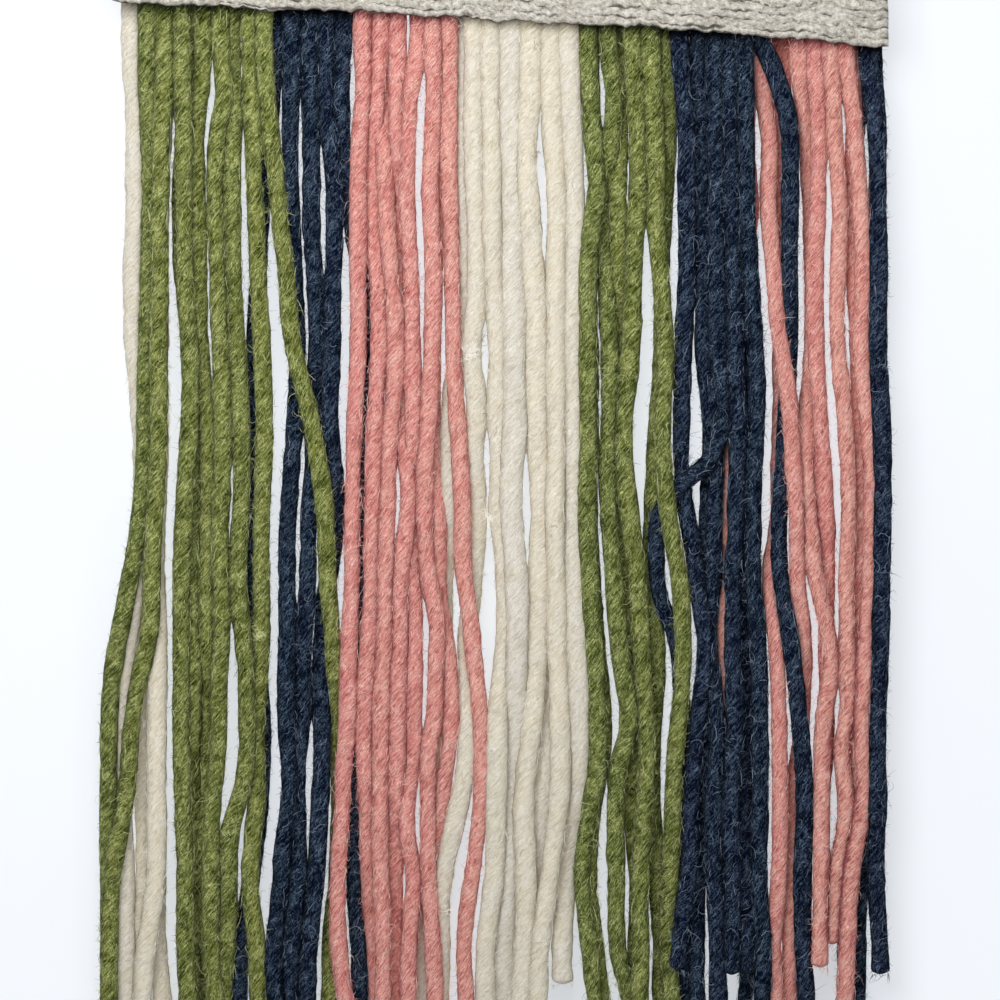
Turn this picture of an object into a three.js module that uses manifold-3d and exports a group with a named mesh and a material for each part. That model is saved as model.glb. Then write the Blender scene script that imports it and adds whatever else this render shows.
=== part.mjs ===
// A woven wall hanging: a thick woven band with a long wool fringe in bunches of colour.
// Millimetres, +Z up. The wall is the plane Y = 0, and the front of the hanging faces -Y.
// The origin is the middle of the band's top edge, on the wall side, where the hanging is held.
import * as THREE from "three";
import { mergeVertices } from "three/addons/utils/BufferGeometryUtils.js";
import Module from "manifold-3d";

const wasm = await Module();
wasm.setup();

// ---- Sizes ----

const BAND_WIDTH = 155;
const BAND_HEIGHT = 60; // top edge down to the line that every drop below is measured from
const BAND_THICKNESS = 2.6;

const YARN_WIDTH = 2.9;
const YARN_DEPTH = 2.0;
const YARN_SIDES = 5;
const YARN_STEPS = 12; // stretches that a strand is made of
const PIECE_GAP = 0.3;
const LAYER_PITCH = YARN_DEPTH + 2 * PIECE_GAP; // from one layer of strands to the next in front of it
const BACK_LAYER_Y = -(YARN_DEPTH / 2 + 0.1);

const KNOT_ROW_ABOVE_EDGE = 3; // lower side of the knot row, above the band's lower edge
const KNOT_ROW_HEIGHT = 6;
const LEAN = 0.05; // how far a strand leans forward inside its knot
const SHORTEST_END = 3; // least length from a strand's last station to its cut end
const BAND_BACK_Y = BACK_LAYER_Y - 2 * LAYER_PITCH - YARN_DEPTH / 2 - 3 * PIECE_GAP;
const KNOT_BACK_Y = -0.6;
const KNOT_FRONT_Y = BAND_BACK_Y + 0.4;
const KNOT_MIDDLE_Y = (KNOT_BACK_Y + KNOT_FRONT_Y) / 2;
const BEYOND = 5; // how far a cutting outline stands past the band

const CREAM = { colour: 0xded6c6, roughness: 0.95 };
const GREEN = { colour: 0x707f3e, roughness: 0.95 };
const NAVY = { colour: 0x1f2e4a, roughness: 0.95 };
const PINK = { colour: 0xdb8378, roughness: 0.95 };
const BAND_CLOTH = { colour: 0xddd8ce, roughness: 0.95 };

// How far the band stands off the wall on its way down, over the knots behind its lower rows.
const BAND_HANG = [
  { down: 0, off: 0 },
  { down: 9, off: 0.02 },
  { down: 20, off: 0.16 },
  { down: 32, off: 0.58 },
  { down: 42, off: 0.92 },
  { down: 48, off: 1 },
  { down: 80, off: 1 },
];

// The band's lower edge: it runs a little downhill to the right, and it isn't quite straight.
const BAND_EDGE = [
  { x: -80, drop: 0.4 },
  { x: -65, drop: 1.2 },
  { x: -55, drop: 1.3 },
  { x: -46, drop: 2.0 },
  { x: -30, drop: 2.3 },
  { x: -20, drop: 2.7 },
  { x: -15, drop: 3.7 },
  { x: -10, drop: 3.2 },
  { x: 0, drop: 4.5 },
  { x: 4, drop: 4.1 },
  { x: 8, drop: 4.9 },
  { x: 20, drop: 5.1 },
  { x: 25, drop: 5.6 },
  { x: 28, drop: 5.2 },
  { x: 34, drop: 6.2 },
  { x: 38, drop: 6.2 },
  { x: 48, drop: 7.0 },
  { x: 58, drop: 7.9 },
  { x: 64, drop: 8.1 },
  { x: 68, drop: 9.0 },
  { x: 72, drop: 9.6 },
  { x: 80, drop: 9.6 },
];

// ---- The fringe ----
// Each strand states, at these drops, its place across (x) and its layer: b back, m middle,
// f front. cut is the drop at which the strand is cut off.
const STATIONS = [10, 25, 40, 55, 70, 85, 100, 115, 130, 145, 160, 175, 190, 205];

// left and right bound the comb's knot row. lane says which share of the depth the row takes.
const COMBS = [
  { name: "fringe_cream_left", wool: CREAM, left: -77.2, right: -66.4, lane: "back", strands: [
    { layer: "mbbbbbbbmmmmmm", cut: 207, x: [-73.9, -72.9, -72.6, -73.1, -73.1, -71.9, -71.6,
      -72.8, -75.0, -75.8, -75.8, -75.4, -75.3, -75.6] },
    { layer: "bbbbbbbbbbbbmm", cut: 211, x: [-70.0, -70.0, -69.5, -69.5, -69.8, -70.0, -70.3,
      -71.0, -71.4, -71.4, -71.4, -70.9, -72.8, -74.0] },
    { layer: "bbbbbbbbmfffff", cut: 205, x: [-68.5, -68.8, -69.0, -69.0, -69.0, -69.3, -69.6,
      -69.5, -68.7, -68.8, -68.9, -68.9, -70.8, -72.4] },
    { layer: "bbbbbbbbbbbbbm", cut: 209, x: [-67.5, -68.0, -68.5, -68.6, -68.6, -68.6, -69.0,
      -69.6, -69.0, -69.0, -69.0, -69.0, -68.9, -67.4] },
  ] },
  { name: "fringe_green_1", wool: GREEN, left: -72.6, right: -45.7, lane: "front", strands: [
    { layer: "fmmmmmmmmmmmmm", cut: 206, x: [-70.8, -70.3, -70.2, -70.5, -70.8, -71.2, -71.9,
      -74.0, -77.0, -78.4, -78.6, -78.6, -78.4, -78.0] },
    { layer: "ffffffffffffff", cut: 208, x: [-67.3, -68.1, -68.6, -68.7, -68.5, -68.2, -69.2,
      -70.1, -72.7, -74.0, -74.8, -77.8, -78.2, -78.2] },
    { layer: "ffffffffffffff", cut: 212, x: [-63.3, -63.4, -63.4, -63.2, -62.1, -62.1, -63.2,
      -63.7, -63.8, -63.8, -63.6, -63.0, -63.0, -62.0] },
    { layer: "bbbbbbbmmmbbbb", cut: 207, x: [-61.8, -63.2, -64.0, -63.8, -62.0, -61.5, -61.5,
      -61.5, -61.6, -61.7, -61.9, -61.8, -61.6, -61.5] },
    { layer: "mmmmmmmmmbbbbb", cut: 210, x: [-59.4, -60.7, -60.8, -60.5, -60.2, -58.8, -58.4,
      -58.6, -58.3, -58.5, -60.2, -60.3, -58.8, -58.3] },
    { layer: "ffffffffffffff", cut: 206, x: [-56.1, -56.8, -57.0, -56.6, -56.0, -55.6, -55.9,
      -57.1, -57.0, -57.3, -57.8, -58.0, -58.0, -56.8] },
    { layer: "mfffffffffffmm", cut: 213, x: [-53.5, -53.7, -53.7, -53.4, -52.6, -51.8, -51.8,
      -52.4, -51.2, -50.1, -51.6, -54.2, -54.9, -56.2] },
    { layer: "ffffffffmbmfff", cut: 209, x: [-50.4, -49.5, -49.1, -48.5, -47.5, -47.2, -47.7,
      -47.8, -47.8, -48.8, -48.9, -50.1, -48.7, -48.3] },
    { layer: "ffffffffmbbbbm", cut: 211, x: [-47.4, -46.1, -44.5, -42.8, -41.3, -37.7, -35.2,
      -34.7, -33.3, -32.7, -32.2, -32.6, -33.9, -34.4] },
  ] },
  { name: "fringe_navy_1", wool: NAVY, left: -45.4, right: -29.4, lane: "full", strands: [
    { layer: "mbbbbbbbbbbbbm", cut: 208, x: [-44.9, -46.2, -47.8, -48.6, -49.4, -49.6, -49.7,
      -49.5, -49.2, -47.7, -48.2, -50.0, -52.2, -52.2] },
    { layer: "ffmmbbmfffffff", cut: 205, x: [-41.7, -41.7, -41.5, -41.1, -40.8, -41.3, -42.4,
      -42.8, -42.6, -42.8, -41.7, -43.4, -44.8, -44.4] },
    { layer: "ffffmbmffmffff", cut: 210, x: [-38.1, -38.1, -38.1, -37.6, -37.0, -38.2, -38.3,
      -38.7, -39.4, -39.5, -40.4, -40.4, -41.9, -42.2] },
    { layer: "ffffffbbbmffff", cut: 207, x: [-35.0, -34.6, -34.1, -33.7, -33.2, -32.8, -32.2,
      -32.8, -35.8, -35.9, -36.4, -36.8, -38.3, -38.6] },
    { layer: "ffmbbbbbbbbbbm", cut: 209, x: [-31.5, -31.2, -30.3, -28.2, -27.4, -27.4, -27.3,
      -27.3, -28.3, -28.8, -29.0, -29.2, -28.6, -28.0] },
  ] },
  { name: "fringe_pink_1", wool: PINK, left: -29.1, right: -8.3, lane: "full", strands: [
    { layer: "ffffffffffffff", cut: 206, x: [-27.2, -28.0, -28.4, -28.4, -28.6, -29.1, -29.5,
      -29.8, -30.3, -30.7, -31.6, -32.4, -32.2, -30.2] },
    { layer: "fmmffffffffmbb", cut: 211, x: [-24.0, -25.0, -25.6, -24.4, -24.4, -25.1, -25.6,
      -25.8, -26.4, -27.3, -26.9, -26.4, -25.3, -25.0] },
    { layer: "bmffffffffffff", cut: 208, x: [-23.0, -23.2, -22.8, -21.8, -20.9, -21.7, -22.9,
      -23.0, -23.3, -23.9, -24.1, -23.9, -23.5, -23.4] },
    { layer: "ffmbbmffffmmbb", cut: 213, x: [-20.6, -20.9, -19.5, -19.3, -19.3, -19.2, -18.5,
      -19.8, -20.5, -20.7, -20.7, -21.1, -21.0, -21.5] },
    { layer: "ffffffbfffmfff", cut: 205, x: [-17.2, -17.7, -18.5, -17.8, -17.5, -17.4, -17.6,
      -17.7, -16.9, -17.3, -18.6, -17.1, -18.4, -18.2] },
    { layer: "ffffffffffffff", cut: 210, x: [-13.9, -13.8, -14.0, -13.3, -13.5, -14.3, -15.0,
      -14.7, -13.1, -13.6, -14.3, -14.2, -13.3, -12.7] },
    { layer: "mmmbbmmmmffbbb", cut: 207, x: [-11.1, -11.0, -11.1, -12.3, -12.5, -12.3, -12.3,
      -12.1, -10.2, -9.7, -11.6, -12.8, -12.5, -12.0] },
    { layer: "fmmfffffffffff", cut: 212, x: [-10.1, -10.2, -10.0, -9.6, -9.3, -8.4, -7.5,
      -7.5, -5.7, -3.8, -3.9, -5.6, -7.2, -6.5] },
  ] },
  { name: "fringe_cream_mid", wool: CREAM, left: -8.0, right: 15.5, lane: "full", strands: [
    { layer: "mmmbbbmbbbbbbb", cut: 209, x: [-7.6, -7.8, -7.6, -7.3, -8.6, -10.1, -9.6,
      -10.6, -11.3, -11.6, -12.6, -14.6, -15.6, -15.0] },
    { layer: "ffffffmmbfffbb", cut: 206, x: [-5.2, -5.3, -5.0, -4.5, -5.6, -5.0, -4.4,
      -5.2, -6.7, -6.7, -8.1, -11.3, -12.2, -12.4] },
    { layer: "ffffffffffffff", cut: 211, x: [-1.8, -1.7, -1.7, -1.4, -0.5, -0.3, -0.6,
      0.2, 0.8, -0.5, -0.7, -1.2, -2.9, -3.0] },
    { layer: "mfmmmmmffmmfmm", cut: 208, x: [2.4, 2.3, 2.7, 2.0, 2.3, 2.6, 1.4,
      3.3, 3.4, 3.0, 2.3, 1.5, 0.6, 1.1] },
    { layer: "ffffffffffffff", cut: 213, x: [6.2, 6.2, 6.3, 5.4, 6.5, 7.2, 8.4,
      7.7, 7.1, 6.4, 4.7, 5.2, 5.0, 3.9] },
    { layer: "ffffffffffffff", cut: 207, x: [9.5, 10.5, 11.5, 11.3, 11.3, 11.4, 10.8,
      11.2, 11.5, 12.1, 12.0, 10.0, 8.0, 7.2] },
    { layer: "bbbbbbbbbbbbbb", cut: 210, x: [9.8, 10.6, 11.4, 11.2, 11.2, 11.3, 10.6,
      10.8, 10.4, 9.8, 8.6, 7.8, 6.8, 6.2] },
    { layer: "ffffffffffmbff", cut: 197, x: [13.6, 14.2, 15.0, 15.0, 14.9, 14.9, 14.9,
      14.9, 15.4, 16.0, 15.8, 13.6, 12.4, 12.9] },
  ] },
  { name: "fringe_green_2", wool: GREEN, left: 15.8, right: 34.0, lane: "full", strands: [
    { layer: "ffffffffffffff", cut: 208, x: [17.5, 18.3, 18.7, 17.4, 17.7, 17.6, 17.5,
      17.8, 18.8, 19.3, 18.3, 16.5, 18.0, 19.8] },
    { layer: "bbbbbbbbbmmmmm", cut: 205, x: [18.0, 18.6, 18.8, 18.0, 18.2, 18.2, 18.0,
      18.4, 19.4, 20.6, 18.6, 17.8, 19.3, 21.2] },
    { layer: "ffbmfffffffffb", cut: 211, x: [21.5, 22.2, 20.7, 21.3, 22.0, 21.9, 21.4,
      22.9, 23.8, 26.0, 23.5, 23.4, 23.7, 27.4] },
    { layer: "bmmmbbbbbbbbbb", cut: 207, x: [23.9, 24.0, 23.5, 23.9, 24.3, 24.4, 24.2,
      25.2, 25.8, 27.2, 26.4, 27.6, 27.6, 27.8] },
    { layer: "ffffffffffffff", cut: 212, x: [26.2, 27.5, 27.5, 26.6, 26.2, 25.3, 25.6,
      27.3, 28.4, 29.4, 29.1, 28.2, 28.1, 28.0] },
    { layer: "fffffffffffmbm", cut: 209, x: [30.0, 31.0, 31.3, 32.0, 32.6, 32.0, 33.2,
      35.8, 36.9, 35.8, 34.6, 34.3, 33.6, 35.1] },
    { layer: "mmbbbbbbbbbbbb", cut: 206, x: [32.5, 33.8, 33.4, 32.5, 31.8, 30.5, 30.3,
      30.2, 32.0, 31.9, 31.5, 31.6, 32.3, 32.6] },
  ] },
  { name: "fringe_navy_2", wool: NAVY, left: 34.3, right: 50.4, lane: "full", strands: [
    { layer: "ffffmfmmmmmfff", cut: 194, x: [35.9, 37.3, 37.3, 37.0, 36.7, 36.6, 37.1,
      39.8, 41.3, 39.6, 38.5, 38.0, 35.3, 34.5] },
    { layer: "mmmmmmmmmmffff", cut: 208, x: [39.8, 40.2, 40.2, 40.9, 40.9, 42.0, 42.4,
      42.3, 42.3, 43.7, 42.4, 43.0, 43.5, 43.8] },
    { layer: "bbbbbbbbbbbbmm", cut: 211, x: [41.0, 41.0, 41.2, 41.8, 41.8, 42.5, 42.0,
      41.5, 41.4, 41.5, 40.5, 39.8, 39.4, 39.6] },
    { layer: "fffffmmmbbbbbb", cut: 206, x: [43.0, 43.2, 43.5, 43.4, 43.6, 44.2, 32.5,
      30.6, 36.0, 36.6, 36.0, 36.6, 37.2, 37.2] },
    { layer: "ffffffffffffff", cut: 195, x: [45.9, 46.3, 46.3, 46.9, 47.3, 47.6, 47.7,
      47.2, 46.7, 47.5, 46.7, 46.6, 46.5, 46.4] },
    { layer: "bbbbbbbbbbbmff", cut: 195, x: [47.4, 47.8, 48.2, 48.6, 49.0, 49.2, 49.6,
      49.0, 49.2, 49.3, 48.9, 49.2, 49.4, 49.5] },
    { layer: "ffffffffffffff", cut: 210, x: [48.9, 49.2, 49.4, 50.1, 51.2, 51.2, 50.7,
      50.5, 51.4, 51.6, 51.7, 51.6, 52.6, 52.5] },
    { layer: "bbbbbbbbbbbbbb", cut: 207, x: [47.4, 48.0, 49.0, 50.0, 51.3, 51.3, 50.9,
      50.7, 51.5, 51.6, 51.5, 51.0, 50.2, 49.0] },
    { layer: "ffffmbmfffffff", cut: 212, x: [53.4, 58.0, 58.1, 58.0, 58.0, 56.6, 56.0,
      56.3, 58.3, 60.1, 61.0, 60.5, 60.8, 61.5] },
  ] },
  { name: "fringe_pink_2", wool: PINK, left: 51.8, right: 71.9, lane: "full", strands: [
    { layer: "bbbbbbbbbbbbbb", cut: 192, x: [50.3, 49.5, 48.5, 47.5, 46.8, 46.0, 45.6,
      44.6, 44.8, 45.5, 46.0, 46.5, 47.0, 47.2] },
    { layer: "mmffffffmbbmmm", cut: 209, x: [51.6, 54.5, 53.8, 54.9, 56.0, 58.3, 59.5,
      59.5, 60.9, 60.6, 58.8, 58.2, 58.4, 58.0] },
    { layer: "bbbbbbbmffffff", cut: 206, x: [54.5, 56.0, 55.9, 56.3, 56.5, 56.6, 55.5,
      54.0, 55.3, 56.0, 56.2, 55.8, 54.7, 55.6] },
    { layer: "fmbbbmffffffff", cut: 193.5, x: [59.0, 61.4, 62.0, 62.0, 61.9, 61.1, 61.6,
      63.0, 66.4, 64.8, 64.3, 64.4, 63.9, 63.6] },
    { layer: "fffffffmbbbbbb", cut: 190, x: [63.2, 63.8, 63.5, 62.9, 63.0, 63.6, 65.0,
      65.6, 65.6, 65.8, 64.8, 64.8, 64.2, 64.0] },
    { layer: "ffffffffffmfff", cut: 189, x: [66.1, 67.5, 68.2, 67.6, 67.7, 69.3, 69.9,
      69.5, 69.5, 69.4, 68.5, 67.0, 66.5, 66.4] },
    { layer: "bbbbbmmmmmbbbb", cut: 210, x: [70.8, 70.5, 70.0, 69.9, 69.8, 70.5, 71.2,
      71.9, 72.4, 71.8, 71.6, 70.2, 69.6, 69.0] },
    { layer: "ffffffffffffff", cut: 207, x: [68.9, 71.0, 72.0, 72.7, 72.3, 73.8, 74.6,
      74.2, 73.2, 72.4, 72.5, 70.4, 69.6, 68.6] },
  ] },
  { name: "fringe_navy_right", wool: NAVY, left: 72.5, right: 77.4, lane: "full", strands: [
    { layer: "ffffffffffffff", cut: 195, x: [73.4, 75.3, 75.7, 75.8, 75.6, 76.5, 76.6,
      76.4, 76.1, 75.4, 75.6, 75.1, 76.2, 76.4] },
    { layer: "bbbbbbbbbbbbbb", cut: 208, x: [73.9, 71.5, 72.0, 73.4, 73.2, 73.6, 73.5,
      73.0, 72.8, 72.2, 70.1, 68.9, 69.5, 69.0] },
    { layer: "bbbbbbbbbbbbbb", cut: 211, x: [74.8, 76.0, 76.0, 76.0, 76.0, 76.2, 76.0,
      76.0, 75.8, 75.0, 74.4, 72.4, 71.9, 71.6] },
  ] },
];

// ---- Helpers ----

// A drop below the band's reference line, as a height.
function heightOf(drop) {
  return -(BAND_HEIGHT + drop);
}

// The value of one column of a table at a place in another, on the line between its rows.
function between(rows, from, at, to) {
  const last = rows.length - 2;
  const found = rows.findIndex((row, i) => i > 0 && row[from] >= at) - 1;
  const i = found < 0 ? last : found;
  const share = (at - rows[i][from]) / (rows[i + 1][from] - rows[i][from]);
  return THREE.MathUtils.lerp(rows[i][to], rows[i + 1][to], share);
}

function solidOf(geometry) {
  geometry.deleteAttribute("normal");
  geometry.deleteAttribute("uv");
  const merged = mergeVertices(geometry, 1e-4);
  const vertProperties = merged.attributes.position.array;
  const triVerts = new Uint32Array(merged.index.array);
  return new wasm.Manifold(new wasm.Mesh({ numProp: 3, vertProperties, triVerts }));
}

function geometryOf(solid) {
  const mesh = solid.getMesh();
  const geometry = new THREE.BufferGeometry();
  geometry.setAttribute("position", new THREE.BufferAttribute(mesh.vertProperties, 3));
  geometry.setIndex(new THREE.BufferAttribute(mesh.triVerts, 1));
  geometry.computeVertexNormals();
  return geometry;
}

function pieceOf(name, geometry, finish) {
  const { colour, roughness } = finish;
  const material = new THREE.MeshStandardMaterial({ color: colour, roughness, metalness: 0 });
  const mesh = new THREE.Mesh(geometry, material);
  mesh.name = name;
  return mesh;
}

// An outline drawn in x and drop, as a plate from yFront to yBack.
function plate(outline, yFront, yBack) {
  const shape = new THREE.Shape(outline.map(({ x, drop }) => new THREE.Vector2(x, heightOf(drop))));
  const depth = yBack - yFront;
  const geometry = new THREE.ExtrudeGeometry(shape, { depth, bevelEnabled: false });
  geometry.rotateX(Math.PI / 2); // outline up along Z, depth towards -Y
  geometry.translate(0, yBack, 0);
  return solidOf(geometry);
}

// ---- The woven band ----

// The sheet in section, as it hangs, drawn across the whole width.
function hangingSheet() {
  const back = BAND_HANG.map(({ down, off }) => new THREE.Vector2(off * BAND_BACK_Y, -down));
  const front = back.map(({ x, y }) => new THREE.Vector2(x - BAND_THICKNESS, y)).reverse();
  const section = new THREE.Shape([...back, ...front]);
  const geometry = new THREE.ExtrudeGeometry(section, { depth: BAND_WIDTH, bevelEnabled: false });
  geometry.rotateX(Math.PI / 2);
  geometry.rotateZ(Math.PI / 2); // section now in Y and Z, width along X
  geometry.translate(-BAND_WIDTH / 2, 0, 0);
  return solidOf(geometry);
}

function wovenBand() {
  const drop = -BAND_HEIGHT - BEYOND;
  const top = [BAND_EDGE.at(-1), BAND_EDGE[0]].map(({ x }) => ({ x, drop }));
  const yFront = BAND_BACK_Y - BAND_THICKNESS - BEYOND;
  const outline = plate([...BAND_EDGE, ...top], yFront, BEYOND);
  return geometryOf(hangingSheet().intersect(outline));
}

// ---- The fringe's combs ----

const LANES = {
  full: { back: KNOT_BACK_Y, front: KNOT_FRONT_Y },
  back: { back: KNOT_BACK_Y, front: KNOT_MIDDLE_Y + PIECE_GAP / 2 },
  front: { back: KNOT_MIDDLE_Y - PIECE_GAP / 2, front: KNOT_FRONT_Y },
};
const LAYER_NUMBER = { b: 0, m: 1, f: 2 };

const allStrands = COMBS.flatMap((comb) => comb.strands.map((strand) => Object.assign(strand, { comb })));

// Lays the strands of one station on each other from the wall outwards: each one lies at its
// layer, or further out where a strand behind it needs the room. Strands of one comb share the
// room at the wall. order keeps, from station to station, which of two strands in one layer is
// the one in front.
function layDown(station, order) {
  order.sort((a, b) => LAYER_NUMBER[a.layer[station]] - LAYER_NUMBER[b.layer[station]]);
  const laid = [];
  for (const strand of order) {
    let y = BACK_LAYER_Y - LAYER_NUMBER[strand.layer[station]] * LAYER_PITCH;
    for (const other of laid) {
      const crushed = other.comb === strand.comb && strand.layer[station] === "b";
      const apart = Math.abs(strand.x[station] - other.x[station]) / (YARN_WIDTH + PIECE_GAP);
      if (apart < 1 && !crushed) {
        y = Math.min(y, other.y[station] - LAYER_PITCH * Math.sqrt(1 - apart * apart));
      }
    }
    strand.y[station] = y;
    laid.push(strand);
  }
}

function settleFringe() {
  const order = [...allStrands];
  allStrands.forEach((strand) => {
    strand.y = [];
  });
  STATIONS.forEach((_, station) => layDown(station, order));
}

// The strand's path: from its knot, through its stations, to its cut end.
function pathOf(strand) {
  const { comb } = strand;
  const half = YARN_WIDTH / 2;
  const lane = LANES[comb.lane];
  const headX = THREE.MathUtils.clamp(strand.x[0], comb.left + half, comb.right - half);
  const headDrop = between(BAND_EDGE, "x", headX, "drop") - KNOT_ROW_ABOVE_EDGE;
  const headY = THREE.MathUtils.clamp(strand.y[0], lane.front + half, lane.back - half);
  const rows = STATIONS.map((drop, i) => ({ drop, x: strand.x[i], y: strand.y[i] }));
  const kept = rows.filter(({ drop }) => drop < strand.cut - SHORTEST_END);
  const end = {
    drop: strand.cut,
    x: between(rows, "drop", strand.cut, "x"),
    y: Math.min(between(rows, "drop", strand.cut, "y"), BACK_LAYER_Y), // never into the wall
  };
  const knot = { drop: headDrop - KNOT_ROW_HEIGHT / 2, x: headX, y: headY };
  // The path starts with no slope across, so that each section lies with its width along X.
  const below = { drop: headDrop, x: headX, y: headY - LEAN };
  return [knot, below, ...kept, end].map(({ drop, x, y }) => new THREE.Vector3(x, y, heightOf(drop)));
}

function strandSolid(strand) {
  const section = new THREE.Shape();
  section.absellipse(0, 0, YARN_WIDTH / 2, YARN_DEPTH / 2, 0, 2 * Math.PI);
  const points = pathOf(strand);
  const extrudePath = new THREE.CatmullRomCurve3(points, false, "centripetal");
  const settings = { steps: YARN_STEPS, extrudePath, curveSegments: YARN_SIDES / 2 };
  return solidOf(new THREE.ExtrudeGeometry(section, settings));
}

// The row of knots that a comb's strands hang from, behind the band's lowest rows.
function knotRow(comb) {
  const edge = [comb.left, (comb.left + comb.right) / 2, comb.right].map((x) => ({
    x,
    drop: between(BAND_EDGE, "x", x, "drop") - KNOT_ROW_ABOVE_EDGE,
  }));
  const upper = edge.map(({ x, drop }) => ({ x, drop: drop - KNOT_ROW_HEIGHT })).reverse();
  const lane = LANES[comb.lane];
  return plate([...edge, ...upper], lane.front, lane.back);
}

function fringeComb(comb) {
  const solids = comb.strands.map(strandSolid);
  return geometryOf(solids.reduce((whole, solid) => whole.add(solid), knotRow(comb)));
}

// ---- The whole hanging ----

settleFringe();

const group = new THREE.Group();
group.add(pieceOf("woven_band", wovenBand(), BAND_CLOTH));
for (const comb of COMBS) {
  group.add(pieceOf(comb.name, fringeComb(comb), comb.wool));
}

export default group;
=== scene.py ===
"""A woven wall hanging with a long wool fringe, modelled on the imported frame, in metres."""

from collections import namedtuple
import math

import bpy
import numpy as np
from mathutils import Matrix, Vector


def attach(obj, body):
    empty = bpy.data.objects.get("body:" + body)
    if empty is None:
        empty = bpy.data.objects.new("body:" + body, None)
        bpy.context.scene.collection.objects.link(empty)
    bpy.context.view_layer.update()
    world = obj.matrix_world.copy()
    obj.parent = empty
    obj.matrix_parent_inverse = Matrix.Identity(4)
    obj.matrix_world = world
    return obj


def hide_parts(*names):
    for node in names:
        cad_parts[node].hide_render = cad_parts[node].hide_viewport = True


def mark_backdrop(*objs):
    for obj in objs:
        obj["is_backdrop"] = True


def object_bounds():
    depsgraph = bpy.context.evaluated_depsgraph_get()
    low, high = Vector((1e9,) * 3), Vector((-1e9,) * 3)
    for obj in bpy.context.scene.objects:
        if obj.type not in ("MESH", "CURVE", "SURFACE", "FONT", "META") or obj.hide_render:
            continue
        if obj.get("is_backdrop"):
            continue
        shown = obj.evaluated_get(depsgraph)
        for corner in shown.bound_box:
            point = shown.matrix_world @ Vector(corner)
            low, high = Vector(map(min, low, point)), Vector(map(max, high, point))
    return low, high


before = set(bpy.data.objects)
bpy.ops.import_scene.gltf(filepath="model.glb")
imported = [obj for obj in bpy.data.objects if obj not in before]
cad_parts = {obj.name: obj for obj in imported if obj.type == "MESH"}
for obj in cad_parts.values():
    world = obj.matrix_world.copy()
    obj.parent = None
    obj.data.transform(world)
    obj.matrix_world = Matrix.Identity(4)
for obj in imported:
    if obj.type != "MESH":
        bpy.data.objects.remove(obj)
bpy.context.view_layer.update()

bl_info = {
    "name": "Woven wall hanging",
    "version": (1, 0, 0),
    "blender": (4, 5, 0),
    "location": "View3D > Sidebar > Hanging",
    "description": "Builds a thick woven band with a long fringe of soft wool, and its stage",
    "category": "Object",
}

MM = 0.001

# ---- The hanging's own sizes, in millimetres ----
# Places across are x. A drop is measured down from a line just above the band's lower edge.

BAND_HEIGHT = 60.0  # from its top edge to the line that drops are measured from
BAND_WIDTH = 155.0
BAND_THICKNESS = 2.6
WALL_GAP = 0.1  # from the wall to the backs of the strands
LAYER_PITCH = 2.6  # from one layer of strands to the one in front of it
STRAND_DEPTH = 2.0
CONTACT_WIDTH = 3.2  # strands nearer than this across lie on each other
BACK_LAYER_Y = -(STRAND_DEPTH / 2 + WALL_GAP)
BAND_BACK_Y = BACK_LAYER_Y - 2 * LAYER_PITCH - STRAND_DEPTH / 2 - 0.9
KNOT_BACK_Y = -0.6
KNOT_FRONT_Y = BAND_BACK_Y + 0.4

LAYER_NUMBER = {"b": 0.0, "m": 1.0, "f": 2.0}

# How far down the band, and which share of its full stand-off it has there.
BAND_HANG = [(0, 0), (9, 0.02), (20, 0.16), (32, 0.58), (42, 0.92), (48, 1), (80, 1)]

# The band's lower edge: place across, and drop.
BAND_EDGE = [
    (-80, 0.4), (-65, 1.2), (-55, 1.3), (-46, 2.0), (-30, 2.3), (-20, 2.7), (-15, 3.7),
    (-10, 3.2), (0, 4.5), (4, 4.1), (8, 4.9), (20, 5.1), (25, 5.6), (28, 5.2), (34, 6.2),
    (38, 6.2), (48, 7.0), (58, 7.9), (64, 8.1), (68, 9.0), (72, 9.6), (80, 9.6),
]

# The drops at which each strand states its place across and its layer.
STATIONS = [10, 25, 40, 55, 70, 85, 100, 115, 130, 145, 160, 175, 190, 205]

# Where a knot row's back and front are, for a row that takes the whole depth or half of it.
KNOT_MIDDLE_Y = (KNOT_BACK_Y + KNOT_FRONT_Y) / 2
LANES = {
    "full": (KNOT_BACK_Y, KNOT_FRONT_Y),
    "back": (KNOT_BACK_Y, KNOT_MIDDLE_Y),
    "front": (KNOT_MIDDLE_Y, KNOT_FRONT_Y),
}


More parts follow.
